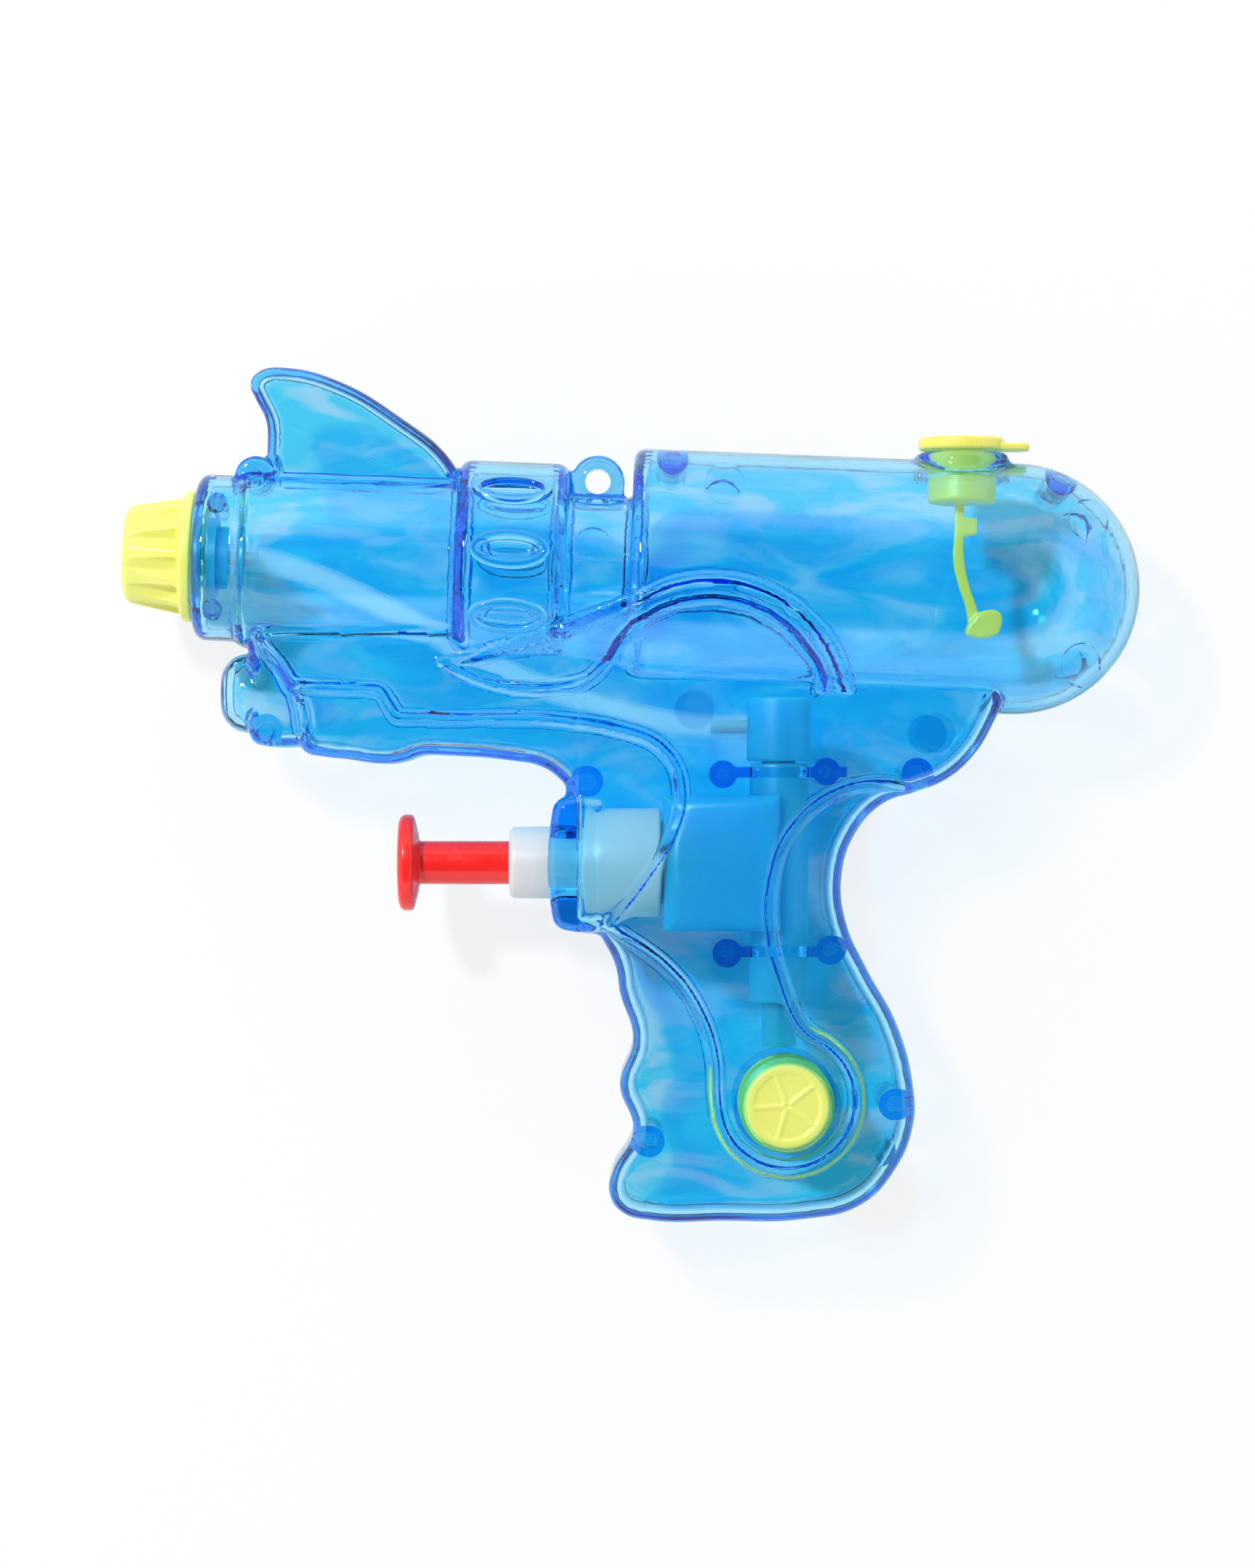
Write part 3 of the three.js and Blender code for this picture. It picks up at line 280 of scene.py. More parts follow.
FRAME_OUTLINE = [
    (-9.7, FRAME_TOP, CORNER), (-9.7, -10.2, CORNER), (-4.5, -10.8, CORNER), (-2.2, -15.4), (-1.5, -19.6),
    (0.5, -26.6), (-1.5, -33.5), (0.5, -40.5), (-2.6, -46.6), (-3.1, -50.0), (-1.2, -52.9), (3.0, -54.1),
    (14.0, -54.2), (26.0, -54.0), (35.0, -51.8), (40.3, -46.3), (43.0, -39.5), (43.0, -34.0), (40.5, -24.4),
    (36.0, -16.1), (32.8, -9.0), (32.1, -2.0), (34.2, 4.6), (38.6, 9.2), (43.5, 10.9), (48.0, 12.8),
    (52.0, 16.3), (54.8, 20.8), (56.4, 25.0), (56.4, FRAME_TOP, CORNER),
]
RAIL_OUTLINE = [
    (-57.4, 38.0, CORNER), (-56.9, 33.3), (-53.7, 29.1), (-51.4, 23.9), (-50.6, 19.4), (-49.2, 16.9),
    (-46.6, 16.2), (-43.0, 15.8), (-37.2, 15.1), (-34.2, 15.5), (-31.6, 16.4), (-28.0, 16.4), (-18.0, 15.6),
    (-13.2, 14.6), (-10.4, 12.6), (-8.6, 10.2, CORNER), (4.0, 10.2, CORNER), (4.0, 38.0, CORNER),
]
NOSE_OUTLINE = [
    (-58.1, 36.0, CORNER), (-58.1, 27.0), (-58.0, 20.4), (-57.3, 18.5), (-55.4, 17.8), (-50.0, 17.7),
    (-44.0, 18.0, CORNER), (-44.0, 36.0, CORNER),
]
FIN_OUTLINE = [
    (-56.2, 53.8, CORNER), (-55.3, 63.6), (-55.5, 67.4), (-57.2, 71.0), (-57.9, 73.2), (-56.4, 75.1),
    (-52.4, 75.6), (-44.0, 73.4), (-35.5, 68.4), (-27.2, 61.4), (-24.0, 53.8, CORNER),
]
RIM_OUTLINE = [
    (-4.0, 10.2, CORNER), (-8.6, 10.3), (-11.0, 9.4), (RIM_FRONT, 6.6), (RIM_FRONT, -6.6), (-11.0, -9.4),
    (-8.6, -10.3), (-4.0, -10.3, CORNER),
]
PANEL_OUTLINE = [
    (-60.0, 26.6, CORNER), (-38.2, 25.7, CORNER), (-35.7, 21.6, CORNER), (-0.3, 19.2), (5.1, 16.2),
    (7.1, 11.4), (6.3, 6.0), (2.1, -1.2), (-4.5, -9.6, CORNER), (5.7, -16.8), (9.9, -22.8), (12.0, -29.0),
    *arc(23.8, -35.8, 11.4, 180, 415, 9), (27.3, -24.6), (23.7, -17.0), (22.0, -10.0), (22.3, -2.4),
    (25.4, 5.0), (33.0, 10.6), (43.0, 11.0, CORNER), (60.0, 11.0, CORNER), (60.0, 36.0, CORNER),
    (-60.0, 36.0, CORNER),
]
ARCH_MIDDLE = (12.0, 21.5)
SWOOSH_OUTLINE = [
    (-29.4, 30.6, CORNER), (-24.3, 31.5), (-18.3, 33.4), (-10.5, 36.0), *arc(*ARCH_MIDDLE, 21.9, 121, 14, 6),
    (33.6, 26.0, CORNER), (28.2, 26.0, CORNER), *arc(*ARCH_MIDDLE, 17.6, 20, 153, 7), (-6.4, 27.2),
    (-10.6, 26.2), (-16.5, 26.0), (-23.5, 27.5),
]
ARCH_OUTLINE = [(-7.0, 24.0, CORNER), *arc(*ARCH_MIDDLE, 19.6, 165, 30, 7), (29.0, 24.0, CORNER)]

# Bosses that pin the halves together, as x, y, radius and depth of the socket
BOSSES = [
    (*LUG, 2.4, 3.3), (6.5, 60.4, 2.4, 6.5), (65.1, 57.3, 2.4, 5.5), (-55.2, 20.3, 2.4, 3.3),
    (-6.4, 12.4, 2.4, 6.5), (43.4, 13.6, 2.4, 6.5), (40.0, -36.4, 2.4, 6.5), (2.9, -42.0, 2.4, 6.5),
    (14.7, -13.5, 2.2, 6.5), (30.3, -13.1, 2.2, 6.5), (14.1, 13.5, 2.1, 6.5), (29.7, 13.9, 2.1, 6.5),
]
COLLAR_POSTS = [(-62.4, 54.1), (-63.1, 38.9)]

# Ribs that hold the pump's tower, as their two ends and height
RIBS = [(14.7, 30.3, -13.3), (14.1, 32.8, 13.8)]

# Round marks that the mould's ejectors left inside
MARKS = [
    (-40.9, 64.2), (14.3, 56.8), (68.7, 51.4), (67.7, 30.6), (46.1, 19.8), (-5.7, 49.2), (-47.8, 22.6),
    (9.9, 23.4), (32.7, -22.4), (36.9, -42.9), (3.3, -48.0),
]

# Outlines of the filler plug. The tab's is drawn flat, as seen from above.
TAB_OUTLINE = [
    (FILLER_X, 3.0, CORNER), (58.6, 3.0), (60.6, 2.2), (61.2, 0), (60.6, -2.2), (58.6, -3.0),
    (FILLER_X, -3.0, CORNER),
]
STRAP_OUTLINE = [
    (49.9, 56.6, CORNER), (49.6, 50.0), (49.5, 46.0), (50.4, 42.0), (51.4, 39.0), (51.8, 36.0, CORNER),
    (53.4, 36.2, CORNER), (53.2, 38.4), (52.2, 41.4), (51.2, 45.6), (51.0, 50.0), (51.3, 56.6, CORNER),
]
CATCH_OUTLINE = [(50.2, 49.7, CORNER), (53.1, 50.2, CORNER), (53.1, 52.7, CORNER), (50.2, 52.9, CORNER)]
ANCHOR_OUTLINE = [
    (51.4, 35.0), (52.0, 34.6), (56.0, 34.9), (56.6, 35.8), (56.5, 38.2), (53.8, 38.4), (52.6, 37.4),
]

# Stations of the nozzle cap's skirt, its gasket and the trigger's pad, as x and radius
CAP_SKIRT = [(-68.4, 8.9), (-68.0, 9.2), (-67.4, 9.2)]
GASKET_SECTION = [(-72.7, 0.7), (-72.7, 5.0), (-72.5, 5.2), (-72.1, 5.2), (-71.9, 5.0), (-71.9, 0.7)]
PAD_PROFILE = [
    (-35.5, 1.0), (-35.45, 4.0), (-35.3, 6.3), (-35.0, 7.0), (-34.5, 7.35), (-33.5, 7.35), (-33.1, 7.2),
    (-32.9, 6.8), (-32.3, 4.4), (-32.2, 3.6),
]

# Hose from the nozzle's barb to the elbow's barb
HOSE_ROUTE = [
    (-62.5, axis_height(-62.5)), (-56.5, axis_height(-56.5)), (-49.0, 44.2), (-41.5, 41.0), (-33.5, 37.0),
    (-25.5, 32.6), (-17.0, 28.4), (-8.0, 25.0), (2.0, 22.3), (12.0, 20.8), (18.0, ELBOW_BARB_HEIGHT),
]

PUMP_OUTLINE = [
    (PUMP_FRONT, PUMP_TOP, CORNER), (PUMP_FRONT, -PUMP_TOP, CORNER), (TOWER_X, -PUMP_TOP, CORNER),
    (TOWER_X, PUMP_TOP, CORNER),
]


# Makes these pieces the only selected ones, with the first one active.
def alone(*pieces):
    bpy.ops.object.select_all(action="DESELECT")
    for piece in pieces:
        piece.select_set(True)
    bpy.context.view_layer.objects.active = pieces[0]
    return pieces[0]


# Puts a move, turn or scale into the mesh.
def settle(piece):
    alone(piece)
    bpy.ops.object.transform_apply(location=True, rotation=True, scale=True)
    return piece


# Merges what lies on one spot and turns every face outwards.
def close_up(piece):
    alone(piece)
    bpy.ops.object.mode_set(mode="EDIT")
    bpy.ops.mesh.select_all(action="SELECT")
    bpy.ops.mesh.remove_doubles(threshold=0.002)
    bpy.ops.mesh.normals_make_consistent(inside=False)
    bpy.ops.object.mode_set(mode="OBJECT")
    return piece


# Adds a modifier and applies it.
def shaped(piece, kind, **settings):
    alone(piece)
    modifier = piece.modifiers.new(kind, kind)
    for name, value in settings.items():
        setattr(modifier, name, value)
    bpy.ops.object.modifier_apply(modifier=modifier.name)
    return piece


# Cuts, keeps or joins by a second solid, which is used up.
def worked(piece, tool, operation):
    shaped(piece, "BOOLEAN", operation=operation, solver="MANIFOLD", object=tool)
    bpy.data.objects.remove(tool)
    return piece


def cut(piece, *tools):
    for tool in tools:
        worked(piece, tool, "DIFFERENCE")
    return piece


def joined(piece, *tools):
    for tool in tools:
        worked(piece, tool, "UNION")
    return piece


def kept(piece, tool):
    return worked(piece, tool, "INTERSECT")


# Copy with its own mesh.
def twin(piece):
    copy = piece.copy()
    copy.data = piece.data.copy()
    bpy.context.collection.objects.link(copy)
    return copy


# What repeats: the piece itself, followed by its copies.
def repeated(piece, count):
    return [piece] + [twin(piece) for i in range(count - 1)]


# Joins overlapping solids into one skin, with its creases rounded off as a mould leaves them.
def fused(pieces, voxel, rounds):
    alone(*pieces)
    bpy.ops.object.join()
    skin = bpy.context.object
    shaped(skin, "REMESH", mode="VOXEL", voxel_size=voxel)
    return shaped(skin, "SMOOTH", factor=0.5, iterations=rounds)


# Solid turned about the x axis: a disc drawn out through stations of (x, radius). A ring has no disc and
# comes back to its start.
def turned(stations, sides=96, ring=False):
    (x, radius), *rest = stations
    bpy.ops.object.select_all(action="DESELECT")
    bpy.ops.mesh.primitive_circle_add(
        vertices=sides, radius=radius, fill_type="NOTHING" if ring else "NGON",
        location=(x, 0, 0), rotation=(0, math.pi / 2, 0),
    )
    piece = settle(bpy.context.object)
    bpy.ops.object.mode_set(mode="EDIT")
    bpy.ops.mesh.select_all(action="SELECT")
    for to_x, to_radius in rest + [stations[0]] * ring:
        bpy.ops.mesh.extrude_region_move(TRANSFORM_OT_translate={"value": (to_x - x, 0, 0)})
        grow = to_radius / radius
        bpy.ops.transform.resize(value=(1, grow, grow), center_override=(to_x, 0, 0))
        x, radius = to_x, to_radius
    bpy.ops.object.mode_set(mode="OBJECT")
    return close_up(piece)


# Square ring about the x axis, for grooves.
def square_ring(front, rear, inner, outer):
    return turned([(front, inner), (front, outer), (rear, outer), (rear, inner)], ring=True)


# Ring of round section about the x axis.
def o_ring(x, radius, thick):
    return turned([(x + a, radius + b) for a, b in arc(0, 0, thick, 0, 345, 23)], ring=True)


# Stations of a cylinder's ends, rounded where a radius is given. A dome ends in a flat too small to show.
def front_end(x, radius, edge, steps=5):
    if edge == 0:
        return [(x, radius)]
    return [(x + edge + a, radius - edge + b) for a, b in arc(0, 0, edge, 180, 90, steps)]


def rear_end(x, radius, edge, steps=5):
    if edge == 0:
        return [(x, radius)]
    return [(x - edge + a, max(radius - edge + b, 0.05)) for a, b in arc(0, 0, edge, 90, 0, steps)]


# Cylinder along x with rounded ends.
def rod(front, rear, radius, front_edge=0, rear_edge=0, sides=96):
    steps = 20 if rear_edge == radius else 5
    return turned(front_end(front, radius, front_edge) + rear_end(rear, radius, rear_edge, steps), sides)


# Plain cylinder along x at a height.
def rod_at(front, rear, y, radius):
    piece = rod(front, rear, radius, sides=48)
    piece.location = (0, y, 0)
    return settle(piece)


# Cylinder that stands up along y or lies across along z.
def upright(x, y_from, y_to, radius, edge=0, sides=64):
    piece = rod(y_from, y_to, radius, edge, edge, sides)
    piece.rotation_euler = (0, 0, math.pi / 2)
    piece.location = (x, 0, 0)
    return settle(piece)


def laid_across(piece, x, y):
    piece.rotation_euler = (0, -math.pi / 2, 0)
    piece.location = (x, y, 0)
    return settle(piece)


def crosswise(x, y, z_from, z_to, radius, edge=0, sides=64):
    return laid_across(rod(z_from, z_to, radius, edge, edge, sides), x, y)


# Turns a piece that was made beside the x axis about that axis.
def swung(piece, degrees):
    piece.rotation_euler = (math.radians(degrees), 0, 0)
    return settle(piece)


# Places a piece that was made along x on the barrel's axis.
def on_barrel(piece):
    piece.rotation_euler = (0, 0, -PITCH)
    piece.location = (0, AXIS_HEIGHT, 0)
    return settle(piece)


# Flat plate about the parting plane, with rounded edges, drawn as a smooth closed curve.
def plate(outline, half, edge, inset=0.0):
    bpy.ops.object.select_all(action="DESELECT")
    bpy.ops.curve.primitive_bezier_circle_add()
    line = bpy.context.object
    line.data.dimensions = "2D"
    line.data.fill_mode = "BOTH"
    spline = line.data.splines[0]
    spline.resolution_u = 10
    spline.bezier_points.add(len(outline) - len(spline.bezier_points))
    for knot, (x, y, *corner) in zip(spline.bezier_points, outline):
        knot.co = (x, y, 0)
        style = "VECTOR" if corner else "AUTO"
        knot.handle_left_type = style
        knot.handle_right_type = style
    line.data.extrude = half - inset - edge
    line.data.bevel_depth = edge
    line.data.bevel_resolution = 4
    line.data.offset = -edge - inset
    bpy.ops.object.convert(target="MESH")
    return close_up(bpy.context.object)


# Round strand along a smooth path, with closed ends.
def strand(path, radius, closed=False):
    bpy.ops.object.select_all(action="DESELECT")
    bpy.ops.curve.primitive_bezier_curve_add()
    line = bpy.context.object
    spline = line.data.splines[0]
    spline.resolution_u = 6
    spline.bezier_points.add(len(path) - len(spline.bezier_points))
    for knot, place in zip(spline.bezier_points, path):
        knot.co = place
        knot.handle_left_type = "AUTO"
        knot.handle_right_type = "AUTO"
    spline.use_cyclic_u = closed
    line.data.bevel_depth = radius
    line.data.bevel_resolution = 6
    line.data.use_fill_caps = not closed
    bpy.ops.object.convert(target="MESH")
    return close_up(bpy.context.object)


def block(low, high):
    bpy.ops.object.select_all(action="DESELECT")
    middle = [(a + b) / 2 for a, b in zip(low, high)]
    bpy.ops.mesh.primitive_cube_add(size=1, location=middle)
    piece = bpy.context.object
    piece.scale = [b - a for a, b in zip(low, high)]
    return settle(piece)


# The shell's outer form, its hollow and the middle of its wall are the same solids, set in by different
# amounts. A raised patch is made of solids that are grown by its rise.
def barrel_forms(inset=0.0, rise=0.0):
    grow = rise - inset
    edge = max(STEP_ROUND - inset, LEAST_ROUND)
    sections = [
        (COLLAR_FRONT + inset, BARREL_FRONT + LAP, COLLAR_RADIUS, edge, 0),
        (BARREL_FRONT + inset, SLEEVE_FRONT + LAP, BARREL_RADIUS, edge, 0),
        (SLEEVE_FRONT + inset, SLEEVE_REAR - inset, SLEEVE_RADIUS, edge, edge),
        (SLEEVE_REAR - LAP, LAP, NECK_RADIUS, 0, 0),
        (inset, TANK_LENGTH - inset, TANK_RADIUS, edge, TANK_RADIUS + grow),
    ]
    return [
        on_barrel(rod(front, rear, radius + grow, front_edge, rear_edge, LARGE_SIDES))
        for front, rear, radius, front_edge, rear_edge in sections
    ]


# The rail widens from the barrel's front to the frame.
def rail_form(inset=0.0, rise=0.0):
    piece = plate(RAIL_OUTLINE, FRAME_HALF + rise, RAIL_ROUND - inset, inset)
    full = FRAME_HALF + rise - inset
    for corner in piece.data.vertices:
        along = min(max((corner.co.x - BARREL_FRONT) / (LAP - BARREL_FRONT), 0), 1)
        half = RAIL_HALF + (FRAME_HALF - RAIL_HALF) * along
        corner.co.z *= (half + rise - inset) / full
    return piece


def frame_form(inset=0.0, rise=0.0):
    return plate(FRAME_OUTLINE, FRAME_HALF + rise, FRAME_ROUND - inset, inset)


def body_forms(inset=0.0):
    lug = crosswise(*LUG, inset - LUG_HALF, LUG_HALF - inset, LUG_RADIUS - inset, max(LUG_ROUND - inset, 0.2))
    bulb = rod(BULB_FRONT + inset, BULB_REAR, BULB_RADIUS - inset, BULB_ROUND - inset)
    bulb.location = (0, BULB_HEIGHT, 0)
    return barrel_forms(inset) + [
        rail_form(inset), frame_form(inset), plate(FIN_OUTLINE, FIN_HALF, FIN_ROUND - inset, inset),
        plate(NOSE_OUTLINE, NOSE_HALF, NOSE_ROUND - inset, inset), settle(bulb), lug,
    ]


# Raised patch of the skin inside an outline. The hollow's patch lies a wall further in.
def relief(outline, forms, inset=0.0):
    return kept(joined(*forms), plate(outline, 3 * TANK_RADIUS, 0.01, inset))


# Cone that takes the swoosh, and the tank's side below its arch, from the sleeve to the tank without a dip.
def bridge(inset=0.0, rise=0.0):
    grow = rise - inset
    return on_barrel(turned([
        (SLEEVE_REAR - 2 * LAP, SLEEVE_RADIUS + grow), (SLEEVE_REAR, SLEEVE_RADIUS + grow),
        (LAP, TANK_RADIUS + grow), (3 * LAP, TANK_RADIUS + grow),
    ], LARGE_SIDES))


# The wall beside a raised edge is a little thinner than the rest, so the hollow's outlines are set in less.
def reliefs(inset=0.0):
    raised = PANEL_RISE + SWOOSH_RISE
    panel = [frame_form(inset, PANEL_RISE), rail_form(inset, PANEL_RISE)]
    swoosh = [frame_form(inset, raised), rail_form(inset, raised), *barrel_forms(inset, SWOOSH_RISE)]
    swoosh.append(bridge(inset, SWOOSH_RISE))
    return [
        relief(PANEL_OUTLINE, panel, 0.9 * inset), relief(SWOOSH_OUTLINE, swoosh, 0.7 * inset),
        relief(ARCH_OUTLINE, [bridge(inset)], 0.7 * inset),
    ]


# Raised oval rings around the sleeve, and the lens that is sunk inside each one.
def ovals():
    middle = (SLEEVE_FRONT + SLEEVE_REAR) / 2
    reach = SLEEVE_RADIUS + OVAL_LIFT
    path = []
    for along, across in arc(0, 0, 1, 0, 345, 23):
        turn = OVAL_HALF_WIDTH * across / SLEEVE_RADIUS
        path.append((middle + OVAL_HALF_LENGTH * along, reach * math.sin(turn), reach * math.cos(turn)))
    ring = strand(path, OVAL_BEAD_RADIUS, closed=True)
    bpy.ops.object.select_all(action="DESELECT")
    bpy.ops.mesh.primitive_uv_sphere_add(segments=48, ring_count=24, radius=1)
    lens = bpy.context.object
    lens.scale = LENS
    lens.location = (middle, 0, SLEEVE_RADIUS + LENS_LIFT)
    turns = [-tilt for tilt in OVAL_TILTS] + [180 + tilt for tilt in OVAL_TILTS]
    rings = zip(repeated(ring, len(turns)), turns)
    lenses = zip(repeated(settle(lens), len(turns)), turns)
    return [[on_barrel(swung(piece, turn)) for piece, turn in group] for group in (rings, lenses)]


def loop_form():
    x, y = LOOP
    deep, shallow = LOOP_FOOT_DROPS
    ear = crosswise(x, y, -LOOP_HALF, LOOP_HALF, LOOP_RADIUS, LOOP_ROUND)
    foot = block(
        (x - LOOP_FOOT_REACH, y - deep, -LOOP_FOOT_HALF), (x + LOOP_FOOT_REACH, y - shallow, LOOP_FOOT_HALF),
    )
    bead = crosswise(x, y, -LOOP_BEAD_HALF, LOOP_BEAD_HALF, LOOP_BEAD_RADIUS, 0.5)
    return [ear, foot, bead]


# Bosses, posts, ribs and sleeves, cut to the middle of the shell's wall.
def shell_fittings(middle):
    sleeve_radius = SPOOL_RADIUS + FIT + SPOOL_SLEEVE_WALL
    fittings = [crosswise(x, y, -ACROSS, ACROSS, radius) for x, y, radius, deep in BOSSES]
    fittings += [crosswise(x, y, -ACROSS, ACROSS, POST_RADIUS) for x, y in COLLAR_POSTS]
    fittings += [
        block((left, y - RIB_HALF, -ACROSS), (right, y + RIB_HALF, ACROSS)) for left, right, y in RIBS
    ]
    fittings += [
        crosswise(*SPOOL, SPOOL_SLEEVE_FRONT, ACROSS, sleeve_radius),
        crosswise(*SPOOL, -ACROSS, -SPOOL_SLEEVE_FRONT, sleeve_radius),
        upright(FILLER_X, FILLER_FLOOR, ABOVE, FILLER_RADIUS),
    ]
    inner = kept(joined(*fittings), middle)
    return cut(inner, upright(TOWER_X, *TOWER_ROOM, TOWER_RADIUS + FIT))


# Holes through the shell: for the nozzle, plug, gland, spool and cord, and the bores of the posts.
def shell_openings():
    openings = [
        on_barrel(rod(*NOZZLE_HOLE)),
        upright(FILLER_X, FILLER_BORE_FOOT, ABOVE, PLUG_RADIUS + FIT),
        rod(*GLAND_TUBE_HOLE),
        rod(*GLAND_HOLE),
        crosswise(*SPOOL, -ACROSS, ACROSS, SPOOL_RADIUS + FIT),
        crosswise(*LOOP, -LOOP_HOLE_HALF, LOOP_HOLE_HALF, LOOP_HOLE_RADIUS),
    ]
    openings += [
        crosswise(x, y, -POST_BORE_HALF, POST_BORE_HALF, POST_BORE_RADIUS, 0, HOLE_SIDES)
        for x, y in COLLAR_POSTS
    ]
    return joined(*openings)


def shell_halves():
    rings, lenses = ovals()
    neck = upright(FILLER_X, FILLER_FOOT, FILLER_TOP, FILLER_RADIUS, FILLER_ROUND)
    rim = plate(RIM_OUTLINE, FRAME_HALF + RIM_PROUD, RIM_ROUND)
    forms = body_forms() + reliefs() + [neck, rim, *loop_form()]
    outer = shaped(fused(forms, voxel=0.38, rounds=2), "DECIMATE", ratio=0.38)
    joined(outer, joined(*rings))
    cut(outer, joined(*lenses))
    hollow = shaped(fused(body_forms(WALL) + reliefs(WALL), voxel=0.55, rounds=3), "DECIMATE", ratio=0.5)
    middle = fused(body_forms(WALL / 2), voxel=0.8, rounds=2)
    lining = shaped(twin(hollow), "DISPLACE", strength=-MARK_RISE, mid_level=0)

    inner = shell_fittings(twin(middle))
    pads = kept(joined(*[crosswise(x, y, -ACROSS, ACROSS, MARK_RADIUS) for x, y in MARKS]), middle)
    cut(pads, lining)
    cut(outer, hollow)
    joined(outer, inner, pads)
    cut(outer, shell_openings())

    left = kept(twin(outer), block((-AROUND, -AROUND, SEAM / 2), (AROUND, AROUND, AROUND / 2)))
    right = kept(outer, block((-AROUND, -AROUND, -AROUND / 2), (AROUND, AROUND, -SEAM / 2)))
    sockets = [
        crosswise(x, y, PIN_ROOT, deep, radius - SOCKET_WALL, 0, HOLE_SIDES) for x, y, radius, deep in BOSSES
    ]
    pins = [
        crosswise(x, y, PIN_ROOT, PIN_HEIGHT, radius - PIN_SETBACK, 0.2, HOLE_SIDES)
        for x, y, radius, deep in BOSSES
    ]
    return cut(left, joined(*sockets)), joined(right, joined(*pins))


def nozzle_cap():
    cone = turned(front_end(CAP_FRONT, CAP_NOSE_RADIUS, CAP_NOSE_ROUND, 6) + CAP_SKIRT, CAP_SIDES)
    joined(cone, rod(*CAP_FLANGE, 0.4, 0.3, CAP_SIDES))
    flute = rod(*FLUTE, 0, FLUTE_ROUND, HOLE_SIDES)
    flute.location = (0, FLUTE_OFFSET, 0)
    for i, groove in enumerate(repeated(settle(flute), FLUTES)):
        cut(cone, swung(groove, 360 / FLUTES * (i + 0.5)))
    cut(cone, rod(*CAP_BORE, 0.4), rod(*ORIFICE, sides=HOLE_SIDES))
    return on_barrel(fused([cone], voxel=0.17, rounds=2))


def nozzle_core():
    core = rod(*CORE, 0.4)
    joined(core, rod(*CORE_FLANGE, 0.2), rod(*CORE_SHANK, 0.4, 0.4), rod(*CORE_BARB, 0, 0.3))
    cut(core, rod(*CORE_BORE, sides=HOLE_SIDES))
    return on_barrel(core)


def nozzle_gasket():
    return on_barrel(turned(GASKET_SECTION, ring=True))


# The hose's bore runs on a little past both ends.
def delivery_hose():
    path = [(x, y, 0) for x, y in HOSE_ROUTE]
    longer = [(path[0][0] - 1, path[0][1], 0), *path[1:-1], (path[-1][0] + 1, path[-1][1], 0)]
    return cut(strand(path, HOSE_RADIUS), strand(longer, HOSE_BORE_RADIUS))


def filler_plug():
    flange = upright(FILLER_X, PLUG_TOP - PLUG_FLANGE_DEPTH, PLUG_TOP, PLUG_FLANGE_RADIUS, PLUG_ROUND)
    body = upright(FILLER_X, PLUG_FOOT, PLUG_TOP - PLUG_BODY_DROP, PLUG_RADIUS, PLUG_ROUND)
    tab = plate(TAB_OUTLINE, TAB_HALF, 0.25)
    tab.rotation_euler = (math.pi / 2, 0, 0)
    tab.location = (0, PLUG_TOP - TAB_DROP, 0)
    strap = plate(STRAP_OUTLINE, STRAP_HALF, 0.2)
    catch = plate(CATCH_OUTLINE, CATCH_HALF, 0.25)
    anchor = plate(ANCHOR_OUTLINE, ANCHOR_HALF, 0.5)
    return fused([flange, body, settle(tab), strap, catch, anchor], voxel=0.17, rounds=3)


def trigger():
    pad = turned(PAD_PROFILE, LARGE_SIDES)
    joined(pad, rod(*TRIGGER_ROD), rod(*PISTON, 0.3, 0.3))
    return cut(fused([pad], voxel=0.18, rounds=2), square_ring(*PISTON_GROOVE))


def pump_gland():
    tube = turned(front_end(GLAND_FRONT, GLAND_MOUTH_RADIUS, GLAND_MOUTH_ROUND) + [GLAND_ROOT])
    joined(tube, rod(*GLAND_BODY, 0.6, 0.6), rod(*GLAND_SPIGOT, 0, 0.3))
    return cut(tube, rod(*ROD_BORE), rod(*GLAND_BORE), square_ring(*ROD_GROOVE))


def return_spring():
    steps = 14
    path = []
    for i in range(SPRING_TURNS * steps + 1):
        angle = 2 * math.pi * i / steps
        along = SPRING_FRONT + SPRING_LENGTH * i / (SPRING_TURNS * steps)
        path.append((along, SPRING_RADIUS * math.cos(angle), SPRING_RADIUS * math.sin(angle)))
    return strand(path, WIRE_RADIUS)


def pump_body():
    pump = plate(PUMP_OUTLINE, PUMP_HALF, PUMP_ROUND)
    joined(pump, upright(TOWER_X, TOWER_FOOT, TOWER_TOP, TOWER_RADIUS, TOWER_ROUND))
    return cut(
        pump, rod(*GLAND_SEAT), rod(*CYLINDER), rod(*CYLINDER_PORT, sides=HOLE_SIDES),
        upright(TOWER_X, -ACROSS, LOWER_VALVE_TOP, VALVE_RADIUS),
        upright(TOWER_X, UPPER_VALVE_FOOT, ACROSS, VALVE_RADIUS),
        upright(TOWER_X, *TOWER_PORT, PORT_RADIUS),
    )


def outlet_elbow():
    elbow = upright(TOWER_X, ELBOW_FOOT, ELBOW_TOP, ELBOW_RADIUS, TOWER_ROUND)
    joined(
        elbow, upright(TOWER_X, *ELBOW_SPIGOT, VALVE_RADIUS - FIT),
        rod_at(ELBOW_BARB_FRONT, TOWER_X, ELBOW_BARB_HEIGHT, BARB_RADIUS),
    )
    return cut(
        elbow, upright(TOWER_X, 0, ELBOW_BARB_HEIGHT, PORT_RADIUS),
        rod_at(0, TOWER_X, ELBOW_BARB_HEIGHT, WATERWAY_RADIUS),
    )


def inlet_tube():
    tube = upright(TOWER_X, INLET_FOOT, INLET_TOP, VALVE_RADIUS - FIT, 0.3)
    return cut(tube, upright(TOWER_X, -ACROSS, 0, PORT_RADIUS))


